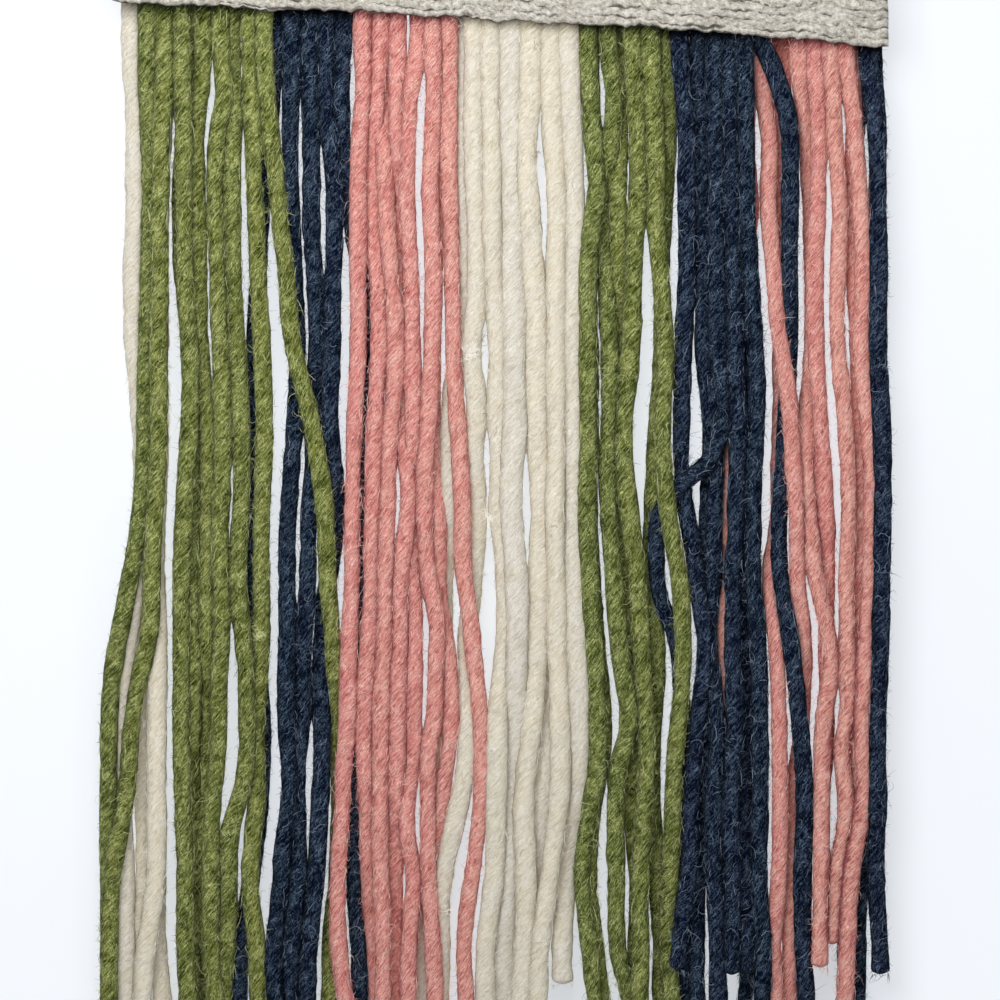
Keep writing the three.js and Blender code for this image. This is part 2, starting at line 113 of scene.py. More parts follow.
# The bunches. A bunch's line has its name, its wool, the ends of its knot row and its lane. Each
# line below it is a strand: its layer at each station (b back, m middle, f front, one letter for
# all), its cut, and its place across at each station. A line of bends has the small ones that
# the strand above makes between two stations: about which drop, how far across, and over what
# length to each side.
BUNCHES = """
bunch cream_left cream -77.2 -66.4 back
mbbbbbbbmmmmmm 207 -73.9 -72.9 -72.6 -73.1 -73.1 -71.9 -71.6 -72.8 -75 -75.8 -75.8 -75.4 -75.3 -75.6
bend 45 -0.8 25
bbbbbbbbbbbbmm 211 -70 -70 -69.5 -69.5 -69.8 -70 -70.3 -71 -71.4 -71.4 -71.4 -70.9 -72.8 -74
bbbbbbbbmfffff 205 -68.5 -68.8 -69 -69 -69 -69.3 -69.6 -69.5 -68.7 -68.8 -68.9 -68.9 -70.8 -72.4
bbbbbbbbbbbbbm 209 -67.5 -68 -68.5 -68.6 -68.6 -68.6 -69 -69.6 -69 -69 -69 -69 -68.9 -67.4
bunch green_1 green -72.6 -45.7 front
fmmmmmmmmmmmmm 206 -70.8 -70.3 -70.2 -70.5 -70.8 -71.2 -71.9 -74 -77 -78.4 -78.6 -78.6 -78.4 -78
f 208 -67.3 -68.1 -68.6 -68.7 -68.5 -68.2 -69.2 -70.1 -72.7 -74 -74.8 -77.8 -78.2 -78.2
bend 18 0.7 5  37 0.9 4  54 0.6 8  128 2.1 10
f 212 -63.3 -63.4 -63.4 -63.2 -62.1 -62.1 -63.2 -63.7 -63.8 -63.8 -63.6 -63 -63 -62
bend 12 -0.5 7
bbbbbbbmmmbbbb 207 -61.8 -63.2 -64 -63.8 -62 -61.5 -61.5 -61.5 -61.6 -61.7 -61.9 -61.8 -61.6 -61.5
bend 37 -0.4 4
mmmmmmmmmbbbbb 210 -59.4 -60.7 -60.8 -60.5 -60.2 -58.8 -58.4 -58.6 -58.3 -58.5 -60.2 -60.3 -58.8 -58.3
bend 28 -0.3 7  125 -0.4 25
f 206 -56.1 -56.8 -57 -56.6 -56 -55.6 -55.9 -57.1 -57 -57.3 -57.8 -58 -58 -56.8
bend 19 1.5 5  124 1.2 17  150 0.8 12
mfffffffffffmm 213 -53.5 -53.7 -53.7 -53.4 -52.6 -51.8 -51.8 -52.4 -51.2 -50.1 -51.6 -54.2 -54.9 -56.2
bend 12.5 -0.4 4  22 0.4 6  142 -0.5 8  166 -1.4 6
ffffffffmbmfff 209 -50.4 -49.5 -49.1 -48.5 -47.5 -47.2 -47.7 -47.8 -47.8 -48.8 -48.9 -50.1 -48.7 -48.3
bend 12.5 0.6 4
ffffffffmbbbbm 211 -47.4 -46.1 -44.5 -42.8 -41.3 -37.7 -35.2 -34.7 -33.3 -32.7 -32.2 -32.6 -33.9 -34.4
bunch navy_1 navy -45.4 -29.4 full
mbbbbbbbbbbbbm 208 -44.9 -46.2 -47.8 -48.6 -49.4 -49.6 -49.7 -49.5 -49.2 -47.7 -48.2 -50 -52.2 -52.2
bend 14 -0.5 6
ffmmbbmfffffff 205 -41.7 -41.7 -41.5 -41.1 -40.8 -41.3 -42.4 -42.8 -42.6 -42.8 -41.7 -43.4 -44.8 -44.4
bend 14 0.3 6  30 -0.4 22  168 -0.7 8  190 -0.5 8
ffffmbmffmffff 210 -38.1 -38.1 -38.1 -37.6 -37 -38.2 -38.3 -38.7 -39.4 -39.5 -40.4 -40.4 -41.9 -42.2
bend 30 0.3 22  66 0.4 16  92 1.1 7  117 0.4 7  155 -0.5 9
ffffffbbbmffff 207 -35 -34.6 -34.1 -33.7 -33.2 -32.8 -32.2 -32.8 -35.8 -35.9 -36.4 -36.8 -38.3 -38.6
bend 40 1.1 14  85 -1.3 14  118 -1.8 9  155 0.3 9
ffmbbbbbbbbbbm 209 -31.5 -31.2 -30.3 -28.2 -27.4 -27.4 -27.3 -27.3 -28.3 -28.8 -29 -29.2 -28.6 -28
bend 10 0.45 4  17 -0.5 6  28 -0.3 6
bunch pink_1 pink -29.1 -8.3 full
f 206 -27.2 -28 -28.4 -28.4 -28.6 -29.1 -29.5 -29.8 -30.3 -30.7 -31.6 -32.4 -32.2 -30.2
bend 10 -0.8 4  17 0.6 6
fmmffffffffmbb 211 -24 -25 -25.6 -24.4 -24.4 -25.1 -25.6 -25.8 -26.4 -27.3 -26.9 -26.4 -25.3 -25
bmffffffffffff 208 -23 -23.2 -22.8 -21.8 -20.9 -21.7 -22.9 -23 -23.3 -23.9 -24.1 -23.9 -23.5 -23.4
bend 11 -1.5 5  100 0.5 6
ffmmmmffffmmbb 213 -20.6 -20.9 -19.5 -19.3 -19.3 -19.2 -18.5 -19.8 -20.5 -20.7 -20.7 -21.1 -21 -21.5
bend 11 0.2 5  135 0.45 14
ffffffbfffmfff 205 -17.2 -17.7 -18.5 -17.8 -17.5 -17.4 -17.6 -17.7 -16.9 -17.3 -18.6 -17.1 -18.4 -18.2
bend 10.5 0.9 4  20 -0.3 8  35 -0.3 15  122 0.5 6  137 -0.35 12  152 0.7 5  168 -0.9 5
f 210 -13.9 -13.8 -14 -13.3 -13.5 -14.3 -15 -14.7 -13.1 -13.6 -14.3 -14.2 -13.3 -12.7
bend 16 0.6 9  122 1.1 6  140 0.35 10  151 -0.5 5
mmmbbmmmmffbbb 207 -11.1 -11 -11.1 -12.3 -12.5 -12.3 -12.3 -12.1 -10.2 -9.7 -11.6 -12.8 -12.5 -12
bend 57 -1 14  82 -1.1 14  122 -0.6 7
fmmfffffffffff 212 -10.1 -10.2 -10 -9.6 -9.3 -8.4 -7.5 -7.5 -5.7 -3.8 -3.9 -5.6 -7.2 -6.5
bend 122 0.6 7
bunch cream_mid cream -8 15.5 full
mmmmmmmbbbbbbb 209 -7.6 -7.8 -7.6 -7.3 -8.6 -10.1 -9.6 -10.6 -11.3 -11.6 -12.6 -14.6 -15.6 -15
bend 115 -0.7 8
ffffffmmbfffbb 206 -5.2 -5.3 -5 -4.5 -5.6 -5 -4.4 -5.2 -6.7 -6.7 -8.1 -11.3 -12.2 -12.4
bend 80 0.6 5  94 -0.7 5  150 0.55 12
f 211 -1.8 -1.7 -1.7 -1.4 -0.5 -0.3 -0.6 0.2 0.8 -0.5 -0.7 -1.2 -2.9 -3
bend 18 -0.3 10  80 -0.3 5  94 0.9 5  112 0.9 9  126 0.5 7  138 -0.5 6
ffffffffffmfmm 208 2.4 2.3 2.7 2 2.3 2.6 1.4 3.3 3.4 3 2.3 1.5 0.6 1.1
bend 15 -0.3 12  60 0.4 12  80 0.3 15  100 0.6 8
f 213 6.2 6.2 6.3 5.4 6.5 7.2 8.4 7.7 7.1 6.4 4.7 5.2 5 3.9
bend 33 -1.2 11  60 1.6 13
f 207 9.5 10.5 11.5 11.3 11.3 11.4 10.8 11.2 11.5 12.1 12 10 8 7.2
bend 12 0.6 8
bbbbbbbbbmmmbb 210 9.8 10.6 11.4 11.2 11.2 11.3 10.6 10.8 10.4 9.8 8.6 7.8 6.8 6.2
bend 33 0.7 9
ffffffffffmbff 197 13.6 14.2 15 15 14.9 14.9 14.9 14.9 15.4 16 15.8 13.6 12.4 12.9
bunch green_2 green 15.8 34 full
f 208 17.5 18.3 18.7 17.4 17.7 17.6 17.5 17.8 18.8 19.3 18.3 16.5 18 19.8
bend 22 0.2 6  37 1.1 5  153 0.6 6
bbbbbbbbbmmmmm 205 18 18.6 18.8 18 18.2 18.2 18 18.4 19.4 20.6 18.6 17.8 19.3 21.2
bend 37 1.1 5  153 0.8 6
ffbmfffffffffb 211 21.5 22.2 20.7 21.3 22 21.9 21.4 22.9 23.8 26 23.5 23.4 23.7 27.4
bend 18 0.9 7  153 -1 5
bmmmbbbbbbbbbb 207 23.9 24 23.5 23.9 24.3 24.4 24.2 25.2 25.8 27.2 26.4 27.6 27.6 27.8
f 212 26.2 27.5 27.5 26.6 26.2 25.3 25.6 27.3 28.4 29.4 29.1 28.2 28.1 28
bend 14 0.3 6  85 -0.5 12
fffffffffffmbm 209 30 31 31.3 32 32.6 32 33.2 35.8 36.9 35.8 34.6 34.3 33.6 35.1
bend 50 -0.4 12  75 0.7 22
mmbbbbbbbbbbbb 206 32.5 33.8 33.4 32.5 31.8 30.5 30.3 30.2 32 31.9 31.5 31.6 32.3 32.6
bend 15 0.5 8  50 -0.4 12  80 1.2 22  150 -1.3 18
bunch navy_2 navy 34.3 50.4 full
ffffmmmmmmmfff 194 35.9 37.3 37.3 37 36.7 36.6 37.1 39.8 41.3 39.6 38.5 38 35.3 34.5
bend 50 0.4 12  92 -0.5 9  118 -0.6 8  190 0.5 7
mmmmmmmmmmffff 208 39.8 40.2 40.2 40.9 40.9 42 42.4 42.3 42.3 43.7 42.4 43 43.5 43.8
bend 50 0.4 8  92 0.9 5  105 0.6 18  113 0.6 4  126 -0.7 8  155 0.3 12
bbbbbbbbbbbbmm 211 41 41 41.2 41.8 41.8 42.5 42 41.5 41.4 41.5 40.5 39.8 39.4 39.6
ffffffmmbbbbbb 206 43 43.2 43.5 43.4 43.6 44.2 32.5 30.6 36 36.6 36 36.6 37.2 37.2
bend 92.5 3.2 5.5  112 1.1 6
f 195 45.9 46.3 46.3 46.9 47.3 47.6 47.7 47.2 46.7 47.5 46.7 46.6 46.5 46.4
bend 105 -0.5 18  108 0.8 3  113 -0.7 4  155 -0.5 14
bbbbbbbbbbbmff 195 47.4 47.8 48.2 48.6 49 49.2 49.6 49 49.2 49.3 48.9 49.2 49.4 49.5
f 210 48.9 49.2 49.4 50.1 51.2 51.2 50.7 50.5 51.4 51.6 51.7 51.6 52.6 52.5
bend 150 0.6 28
b 207 47.4 48 49 50 51.3 51.3 50.9 50.7 51.5 51.6 51.5 51 50.2 49
bend 150 0.6 28
ffffmbmfffffff 212 53.4 58 58.1 58 58 56.6 56 56.3 58.3 60.1 61 60.5 60.8 61.5
bend 85 0.7 12
bunch pink_2 pink 51.8 71.9 full
b 192 50.3 49.5 48.5 47.5 46.8 46 45.6 44.6 44.8 45.5 46 46.5 47 47.2
bend 42 2.2 9
mmffffffmbbmmm 209 51.6 54.5 53.8 54.9 56 58.3 59.5 59.5 60.9 60.6 58.8 58.2 58.4 58
bend 20 -0.9 7  74 0.4 8  92 -0.3 8
bbbbbbbmffffff 206 54.5 56 55.9 56.3 56.5 56.6 55.5 54 55.3 56 56.2 55.8 54.7 55.6
bend 13 2.2 8  104 0.9 7
fmbbbmffffffff 193.5 59 61.4 62 62 61.9 61.1 61.6 63 66.4 64.8 64.3 64.4 63.9 63.6
bend 8 0.5 7  60 0.9 22
fffffffmbbbbbb 190 63.2 63.8 63.5 62.9 63 63.6 65 65.6 65.6 65.8 64.8 64.8 64.2 64
bend 80 0.5 25
ffffffffffmfff 189 66.1 67.5 68.2 67.6 67.7 69.3 69.9 69.5 69.5 69.4 68.5 67 66.5 66.4
bend 26 -0.6 9  142 0.6 4  150 -1.2 5  164 1.1 8
mmmmmmmmmmbbbb 210 70.8 70.5 70 69.9 69.8 70.5 71.2 71.9 72.4 71.8 71.6 70.2 69.6 69
bend 26 0.5 8  75 2 30
f 207 68.9 71 72 72.7 72.3 73.8 74.6 74.2 73.2 72.4 72.5 70.4 69.6 68.6
bend 158 0.5 8
bunch navy_right navy 72.5 77.4 full
f 195 73.4 75.3 75.7 75.8 75.6 76.5 76.6 76.4 76.1 75.4 75.6 75.1 76.2 76.4
b 208 73.9 71.5 72 73.4 73.2 73.6 73.5 73 72.8 72.2 70.1 68.9 69.5 69
b 211 74.8 76 76 76 76 76.2 76 76 75.8 75 74.4 72.4 71.9 71.6
"""

# Tufts and slubs, by comb: strand, drop, place across from its middle, lightness (0 dark, 1
# light), and how many fibres.
TUFTS = {
    "fringe_cream_mid": [
        (1, 68, 1.9, 0, 16), (1, 69.5, 0.2, 1, 60), (1, 71, -0.9, 1, 30),
        (2, 83, -1.8, 0, 12), (4, 30.5, 1.7, 0, 12), (4, 8.8, 0.5, 0, 5),
        (4, 8.4, 1.5, 0, 5), (1, 102.5, 1.7, 1, 45), (2, 104, -1.7, 1, 45),
        (1, 182, 1.0, 1, 16),
    ],
    "fringe_green_1": [(7, 127, -0.3, 1, 45), (6, 116, 0.6, 1, 10), (6, 167, -0.4, 1, 12)],
    "fringe_green_2": [(3, 158, 0.2, 0, 16)],
    "fringe_pink_1": [(3, 14.5, 0.3, 1, 7), (3, 156, 0.8, 1, 7)],
}

# Strands fuller than their colour's others.
FULLER = {("fringe_cream_mid", 3): 1.16, ("fringe_cream_mid", 4): 1.1}


Comb = namedtuple("Comb", "name wool left right lane strands")
Strand = namedtuple("Strand", "layer cut x bends")


def read_combs(text):
    """The bunches that a text lists, as combs with their strands."""
    combs = []
    for first, *rest in map(str.split, text.strip().splitlines()):
        if first == "bunch":
            name, wool, left, right, lane = rest
            combs.append(Comb("fringe_" + name, wool, float(left), float(right), lane, []))
        elif first == "bend":
            numbers = map(float, rest)
            combs[-1].strands[-1].bends.extend(zip(numbers, numbers, numbers))
        else:
            layer = first * len(STATIONS) if len(first) == 1 else first
            cut, *x = map(float, rest)
            combs[-1].strands.append(Strand(layer, cut, x, []))
    return combs


COMBS = read_combs(BUNCHES)


# ---- Numbers along and across ----

LATTICE_SIZE = 256
LATTICES = [
    np.random.default_rng(seed).random((LATTICE_SIZE, LATTICE_SIZE)) * 2 - 1 for seed in range(8)
]


def noise(kind, u, v=0.0):
    """Smooth noise from -1 to 1 over u and v; kind picks one of eight patterns."""
    u, v = np.broadcast_arrays(np.asarray(u, float), np.asarray(v, float))
    iu, iv = np.floor(u).astype(int), np.floor(v).astype(int)
    fu, fv = u - iu, v - iv
    fu, fv = fu * fu * (3 - 2 * fu), fv * fv * (3 - 2 * fv)
    near_u, near_v = iu % LATTICE_SIZE, iv % LATTICE_SIZE
    far_u, far_v = (iu + 1) % LATTICE_SIZE, (iv + 1) % LATTICE_SIZE
    grid = LATTICES[kind]
    a, b, c, d = grid[near_u, near_v], grid[far_u, near_v], grid[near_u, far_v], grid[far_u, far_v]
    return (a * (1 - fu) + b * fu) * (1 - fv) + (c * (1 - fu) + d * fu) * fv


def through(places, values, at):
    """A smooth curve through a table's values."""
    places, values = np.asarray(places, float), np.asarray(values, float)
    slopes = np.gradient(values, places)
    i = np.clip(np.searchsorted(places, at) - 1, 0, len(places) - 2)
    span = places[i + 1] - places[i]
    t = np.clip((at - places[i]) / span, 0, 1)
    rise = values[i] * (1 + 2 * t) * (1 - t) ** 2 + values[i + 1] * t * t * (3 - 2 * t)
    lean = slopes[i] * span * t * (1 - t) ** 2 + slopes[i + 1] * span * t * t * (t - 1)
    return rise + lean


def soften(values, times):
    """Rounds the corners of a run of values and keeps its ends."""
    values = np.array(values, float)
    for _ in range(times):
        values[1:-1] = (values[:-2] + 2 * values[1:-1] + values[2:]) / 4
    return values


def edge_drop(x):
    return np.interp(x, *zip(*BAND_EDGE))


def unit(vectors):
    return vectors / np.linalg.norm(vectors, axis=-1, keepdims=True)


# ---- Meshes ----

def add_mesh(name, points, faces, attributes):
    """A mesh object from millimetre points; faces are equal-sided rows of point numbers."""
    mesh = bpy.data.meshes.new(name)
    count = sum(len(block) for block in faces)
    corners = np.concatenate([block.ravel() for block in faces])
    sizes = np.concatenate([np.full(len(block), block.shape[1]) for block in faces])
    mesh.vertices.add(len(points))
    mesh.loops.add(len(corners))
    mesh.polygons.add(count)
    mesh.vertices.foreach_set("co", (points * MM).astype(np.float32).ravel())
    mesh.polygons.foreach_set("loop_start", np.concatenate([[0], np.cumsum(sizes)[:-1]]))
    mesh.loops.foreach_set("vertex_index", corners.astype(np.int32))
    mesh.polygons.foreach_set("use_smooth", np.full(count, True))
    for key, values in attributes.items():
        kind, field = ("FLOAT", "value") if values.ndim == 1 else ("FLOAT_VECTOR", "vector")
        made = mesh.attributes.new(key, kind, "POINT")
        made.data.foreach_set(field, values.astype(np.float32).ravel())
    mesh.update(calc_edges=True)
    mesh.validate()
    piece = bpy.data.objects.new(name, mesh)
    bpy.context.scene.collection.objects.link(piece)
    return piece


def grid_faces(rows, columns, closed):
    """The quads of a grid of points, closed round its columns or open."""
    i = np.arange(rows - 1)[:, None]
    j = np.arange(columns if closed else columns - 1)[None, :]
    k = (j + 1) % columns
    quads = [i * columns + j, i * columns + k, (i + 1) * columns + k, (i + 1) * columns + j]
    return np.stack(np.broadcast_arrays(*quads), -1).reshape(-1, 4)


def joined(parts):
    """Several lists of (points, faces, attributes) as one."""
    points, faces, attributes, start = [], [], {}, 0
    for part_points, part_faces, part_attributes in parts:
        points.append(part_points)
        faces.extend(block + start for block in part_faces)
        for key, values in part_attributes.items():
            attributes.setdefault(key, []).append(values)
        start += len(part_points)
    attributes = {key: np.concatenate(values) for key, values in attributes.items()}
    return np.concatenate(points), faces, attributes


# ---- The strands' paths ----

LEVELS = np.arange(10.0, 216.0, 2.5)
WANDER = 0.18  # how far a strand strays from its table between two stations
SPLAY = 0.06  # how far the ends spread, over the length below the last station
CLOSE_ROOM = 0.5  # strands of one bunch that lie closer than this meet
CLOSE_LAP = 0.45  # and press into each other by this
SAME_DEPTH = 1.8  # strands nearer than this, front to back, can meet
# Painted shade: a strand is painted darker beside a neighbour nearer than this.
SHADE_ROOM = 1.2  # a strand is darker beside one that is nearer than this
KNOT_MARGIN = 1.5  # from a strand's middle to the ends of its knot row


class Run:
    """One strand's place, level by level."""

    def __init__(self, comb, index, number):
        strand = comb.strands[index]
        self.comb = comb
        self.fuller = FULLER.get((comb.name, index), 1.0)
        self.cut = strand.cut
        self.number = number
        layers = [LAYER_NUMBER[letter] for letter in strand.layer]
        self.layer = np.interp(LEVELS, STATIONS, layers)
        self.x = through(STATIONS, strand.x, np.minimum(LEVELS, STATIONS[-1]))
        below = np.maximum(LEVELS - STATIONS[-1], 0)
        self.x += below * np.sign(number % 3 - 1) * SPLAY
        self.x += WANDER * noise(0, LEVELS / 9 + 31 * number)
        for drop, shift, length in strand.bends:
            self.x += shift * np.exp(-(((LEVELS - drop) / length) ** 2))
        self.y = np.zeros(len(LEVELS))
        self.fill = np.zeros((2, len(LEVELS)))  # to the left and to the right
        self.close = np.zeros((2, len(LEVELS)))

    def fill_to(self, other, half_widths):
        """Fills this strand out towards another that it nearly touches, and notes how close
        it lies, for the painted shade beside it."""
        aside = other.x - self.x
        room = np.abs(aside) - half_widths
        ragged = CLOSE_ROOM + 0.15 * noise(6, LEVELS / 4 + 5 * (self.number + other.number))
        near = (np.abs(self.y - other.y) < SAME_DEPTH) & (LEVELS < min(self.cut, other.cut))
        fill = near * np.clip((ragged - room) / 0.3, 0, 1) * np.maximum(room + CLOSE_LAP, 0) / 2
        on_side = np.stack([aside < 0, aside > 0])
        self.fill = np.maximum(self.fill, fill * on_side)
        self.close = np.maximum(self.close, near * np.clip(SHADE_ROOM - room, 0, 1) * on_side)


def lay_on(runs, wanted):
    """Lays the strands on each other from the wall out, level by level."""
    order = list(runs)
    for level in range(len(LEVELS)):
        order.sort(key=lambda run: run.layer[level])
        x = np.array([run.x[level] for run in order])
        y = np.zeros(len(order))
        for i, run in enumerate(order):
            apart = np.abs(x[:i] - x[i]) / CONTACT_WIDTH
            near = apart < 1
            if run.layer[level] < 0.3:
                near &= np.array([other.comb is not run.comb for other in order[:i]], bool)
            y[i] = wanted(run, level)
            if near.any():
                rise = LAYER_PITCH * np.sqrt(1 - apart[near] ** 2)
                y[i] = min(y[i], (y[:i][near] - rise).min())
            run.y[level] = y[i]


def settle(combs):
    """Every strand's run, settled on the wall and on its neighbours."""
    runs = []
    for comb in combs:
        runs += [Run(comb, index, len(runs) + index) for index in range(len(comb.strands))]
    lay_on(runs, lambda run, level: BACK_LAYER_Y - LAYER_PITCH * run.layer[level])
    for _ in range(3):
        for run in runs:
            run.y = soften(run.y, 6)
        lay_on(runs, lambda run, level: run.y[level])
    for run in runs:
        run.y = soften(run.y, 3)
    for run in runs:
        width = WOOLS[run.comb.wool].width
        for other in runs:
            if other is not run and other.comb is run.comb:
                run.fill_to(other, width * (run.fuller + other.fuller) / 2)
    return runs


def path_of(run):
    """The strand's centre line: out of the band's back, over its knot, and down to its cut."""
    comb = run.comb
    head_x = float(np.clip(run.x[0], comb.left + KNOT_MARGIN, comb.right - KNOT_MARGIN))
    edge = float(edge_drop(head_x))
    lane = LANES[comb.lane]
    head_y = float(np.clip(run.y[0], lane[1] + KNOT_MARGIN, lane[0] - KNOT_MARGIN))
    ways = [(BAND_BACK_Y - 1.0, 7.0), (BAND_BACK_Y + 0.8, 8.2)]
    ways += [(head_y, above) for above in (7.2, 5.0, 3.0)]
    top = [(head_x, y, edge - above) for y, above in ways]
    kept = LEVELS < run.cut - 1
    body = np.stack([run.x[kept], run.y[kept], LEVELS[kept]], 1)
    step = body[-1] - body[-2]
    tip = body[-1] + step * (run.cut - body[-1][2]) / step[2]
    line = np.concatenate([top, body, [tip]])
    line[:, 2] = -(BAND_HEIGHT + line[:, 2])
    lengths = np.concatenate([[0], np.cumsum(np.linalg.norm(np.diff(line, axis=0), axis=1))])
    rings = int(lengths[-1] / RING_SPACING) + 2
    at = np.linspace(0, lengths[-1] - TIP_LENGTH, rings)
    at = np.concatenate([at, lengths[-1] - np.array(TIP_RINGS)])
    even = np.stack([soften(np.interp(at, lengths, line[:, k]), 5) for k in range(3)], 1)
    return even, at


# ---- The wool strands ----

SIDES = 14
RING_SPACING = 1.6
TIP_LENGTH = 1.2  # where the rings near a strand's cut start
TIP_RINGS = [0.7, 0.35, 0.1, 0]  # how far from the cut they are
TIP_ROUND = 0.7
FULL_TO = 12.0  # a strand is fuller over this length from its start
LAY_RADIUS = 1.6  # of a strand, in its shader's own coordinates
STRAND_APART = 400.0  # and between one strand and the next there


def half_depth(yarn):
    return STRAND_DEPTH * yarn.fullness / 2


def strand_frame(way):
    """The directions to a strand's side and to its front, from its way down."""
    side = unit(np.array([1.0, 0, 0]) - way * way[:, :1])
    return side, np.cross(way, side)


def wool_lay(lay, along):
    """The shader's own coordinates, which wind with the yarn."""
    winding = [LAY_RADIUS * np.cos(lay), LAY_RADIUS * np.sin(lay)]
    return np.stack([*winding, np.broadcast_to(along, lay.shape)], -1).reshape(-1, 3)


def on_each_side(theta, drop, sides):
    """A run's left and right values, each on its own side of the strand."""
    left, right = (np.interp(drop, LEVELS, side)[:, None] for side in sides)
    return np.where(np.cos(theta) > 0, right, left)


def uneven_radius(number, s, lay):
    """A strand's softly lobed radius, as a share of its mean one."""
    size = 1 + 0.07 * noise(2, s / 9 + 11 * number) + 0.05 * noise(3, s / 3.5 + 5 * number)
    size += 0.12 * np.exp(-np.maximum(s - FULL_TO, 0) / FULL_TO)
    lobes = 0.02 * np.cos(2 * lay + number) + 0.014 * np.cos(3 * lay + 2 * number)
    lobes += 0.055 * noise(4, 3 * np.cos(lay) + 9 * number, 3 * np.sin(lay) + s / 5)
    lobes += 0.03 * noise(5, 6 * np.cos(lay) + 4 * number, 6 * np.sin(lay) + s / 2.2)
    return size * (1 + lobes)


def painted_shade_share(line, theta, close):
    """The painted shade on a strand, where it is out of the light: beside its neighbours, more
    so low down and to the right, and a painted shadow just under the band."""
    across = line[:, :1]
    below = -line[:, 2:] - BAND_HEIGHT - edge_drop(across)
    band_shadow = np.exp(-np.maximum(below - 0.2, 0) / 1.1)
    low = (0.25 + 0.65 * np.clip((across - 50) / 20, 0, 1)) * np.clip(below / 200, 0, 1)
    beside = (0.4 + low) * (0.45 + 0.7 * close)
    return beside * np.abs(np.cos(theta)) ** 2.6 + 0.75 * band_shadow


def capped_tube(rings):
    """The faces of a tube that has a middle point on each end, after its rings."""
    j = np.arange(SIDES)
    k = (j + 1) % SIDES
    last_ring, first_middle = (rings - 1) * SIDES, rings * SIDES
    top = np.stack([np.full(SIDES, first_middle), k, j], 1)
    bottom = np.stack([np.full(SIDES, first_middle + 1), last_ring + j, last_ring + k], 1)
    return [grid_faces(rings, SIDES, True), top, bottom]


def strand_part(run, wool, yarn):
    """One strand as a closed, softly lobed, twisted tube, with its wool lay as attributes."""
    line, at = path_of(run)
    number, s = run.number, at[:, None]
    side, front = strand_frame(unit(np.gradient(line, axis=0)))
    theta = np.linspace(0, 2 * math.pi, SIDES, endpoint=False)[None, :]
    twist = 2 * math.pi / yarn.turn * (1 + 0.12 * noise(1, at / 40 + 7 * number))
    turned = np.concatenate([[0], np.cumsum((twist[1:] + twist[:-1]) / 2 * np.diff(at))])
    lay = theta - turned[:, None]
    from_tip = np.clip((at[-1] - s) / TIP_ROUND, 0.0, 1.0)
    tip = np.sqrt(np.clip(1 - (1 - from_tip) ** 2, 0.02, 1))
    radius = uneven_radius(number, s, lay) * tip
    half_width = wool.width * run.fuller * (1 + 0.05 * noise(6, s / 30 + 3 * number)) / 2
    drop = -line[:, 2] - BAND_HEIGHT
    fill, close = (on_each_side(theta, drop, sides) for sides in (run.fill, run.close))
    points = (
        line[:, None, :]
        + side[:, None, :] * ((half_width * radius + fill * tip) * np.cos(theta))[..., None]
        + front[:, None, :] * (half_depth(yarn) * radius * np.sin(theta))[..., None]
    )
    points = np.concatenate([points.reshape(-1, 3), line[[0, -1]]])
    along = s + STRAND_APART * number
    attributes = {
        "wool_lay": np.concatenate(
            [wool_lay(lay, along), [[0, 0, along[0, 0]], [0, 0, along[-1, 0]]]]
        ),
        "wool_tone": np.full(len(points), 0.5 + 0.5 * float(noise(7, 3.7 * number + 0.5))),
        # The painted shade, with the caps' middles: deep under the band, light at the cut.
        "painted_shade": np.concatenate([painted_shade_share(line, theta, close).ravel(), [0.8, 0.2]]),
    }
    return points, capped_tube(len(line)), attributes


FIBRE_BACK_Y = 0.3  # fibres press against the wall here
FIBRES_OVER = 200  # the length of strand that the settings count fibres on
FIBRES_FROM = 10  # fibres start below the knots


def blades(start, way, out, length, lift, bend, width, segments, random):
    """Thin tapered fibres. Each leaves its start along its way, turns by its bend in all, and
    lifts off along its out."""
    total = len(start)
    across = np.cross(out, way)
    u = np.linspace(0, 1, segments + 1)[None, :, None]
    b = np.where(np.abs(bend) < 0.05, 0.05, bend)[:, None, None]
    phase = random.uniform(0, 2 * math.pi, total)[:, None, None]
    wave = 0.05 * (np.sin(u * 7 + phase) - np.sin(phase))
    forward, sideways = np.sin(b * u) / b, (1 - np.cos(b * u)) / b + wave
    points = start[:, None, :] + length[:, None, None] * (
        way[:, None, :] * forward + across[:, None, :] * sideways
    ) + out[:, None, :] * (lift[:, None, None] * u ** 1.4)
    points[..., 1] = np.minimum(points[..., 1], FIBRE_BACK_Y)
    heading = np.gradient(points, axis=1)
    facing = np.where(random.random((total, 1)) < 0.75, [[0.0, 1.0, 0.0]], [[1.0, 0.0, 0.0]])
    flat = np.cross(heading, facing[:, None, :])
    flat /= np.maximum(np.linalg.norm(flat, axis=2, keepdims=True), 1e-9)
    half = width * random.uniform(0.35, 0.6, total)[:, None, None] * (1 - 0.75 * u ** 2)
    points = np.stack([points - flat * half, points + flat * half], 2).reshape(-1, 3)
    quad = np.array([[2 * i, 2 * i + 1, 2 * i + 3, 2 * i + 2] for i in range(segments)])
    faces = np.arange(total)[:, None, None] * (segments + 1) * 2 + quad[None]
    return points, faces.reshape(-1, 4)


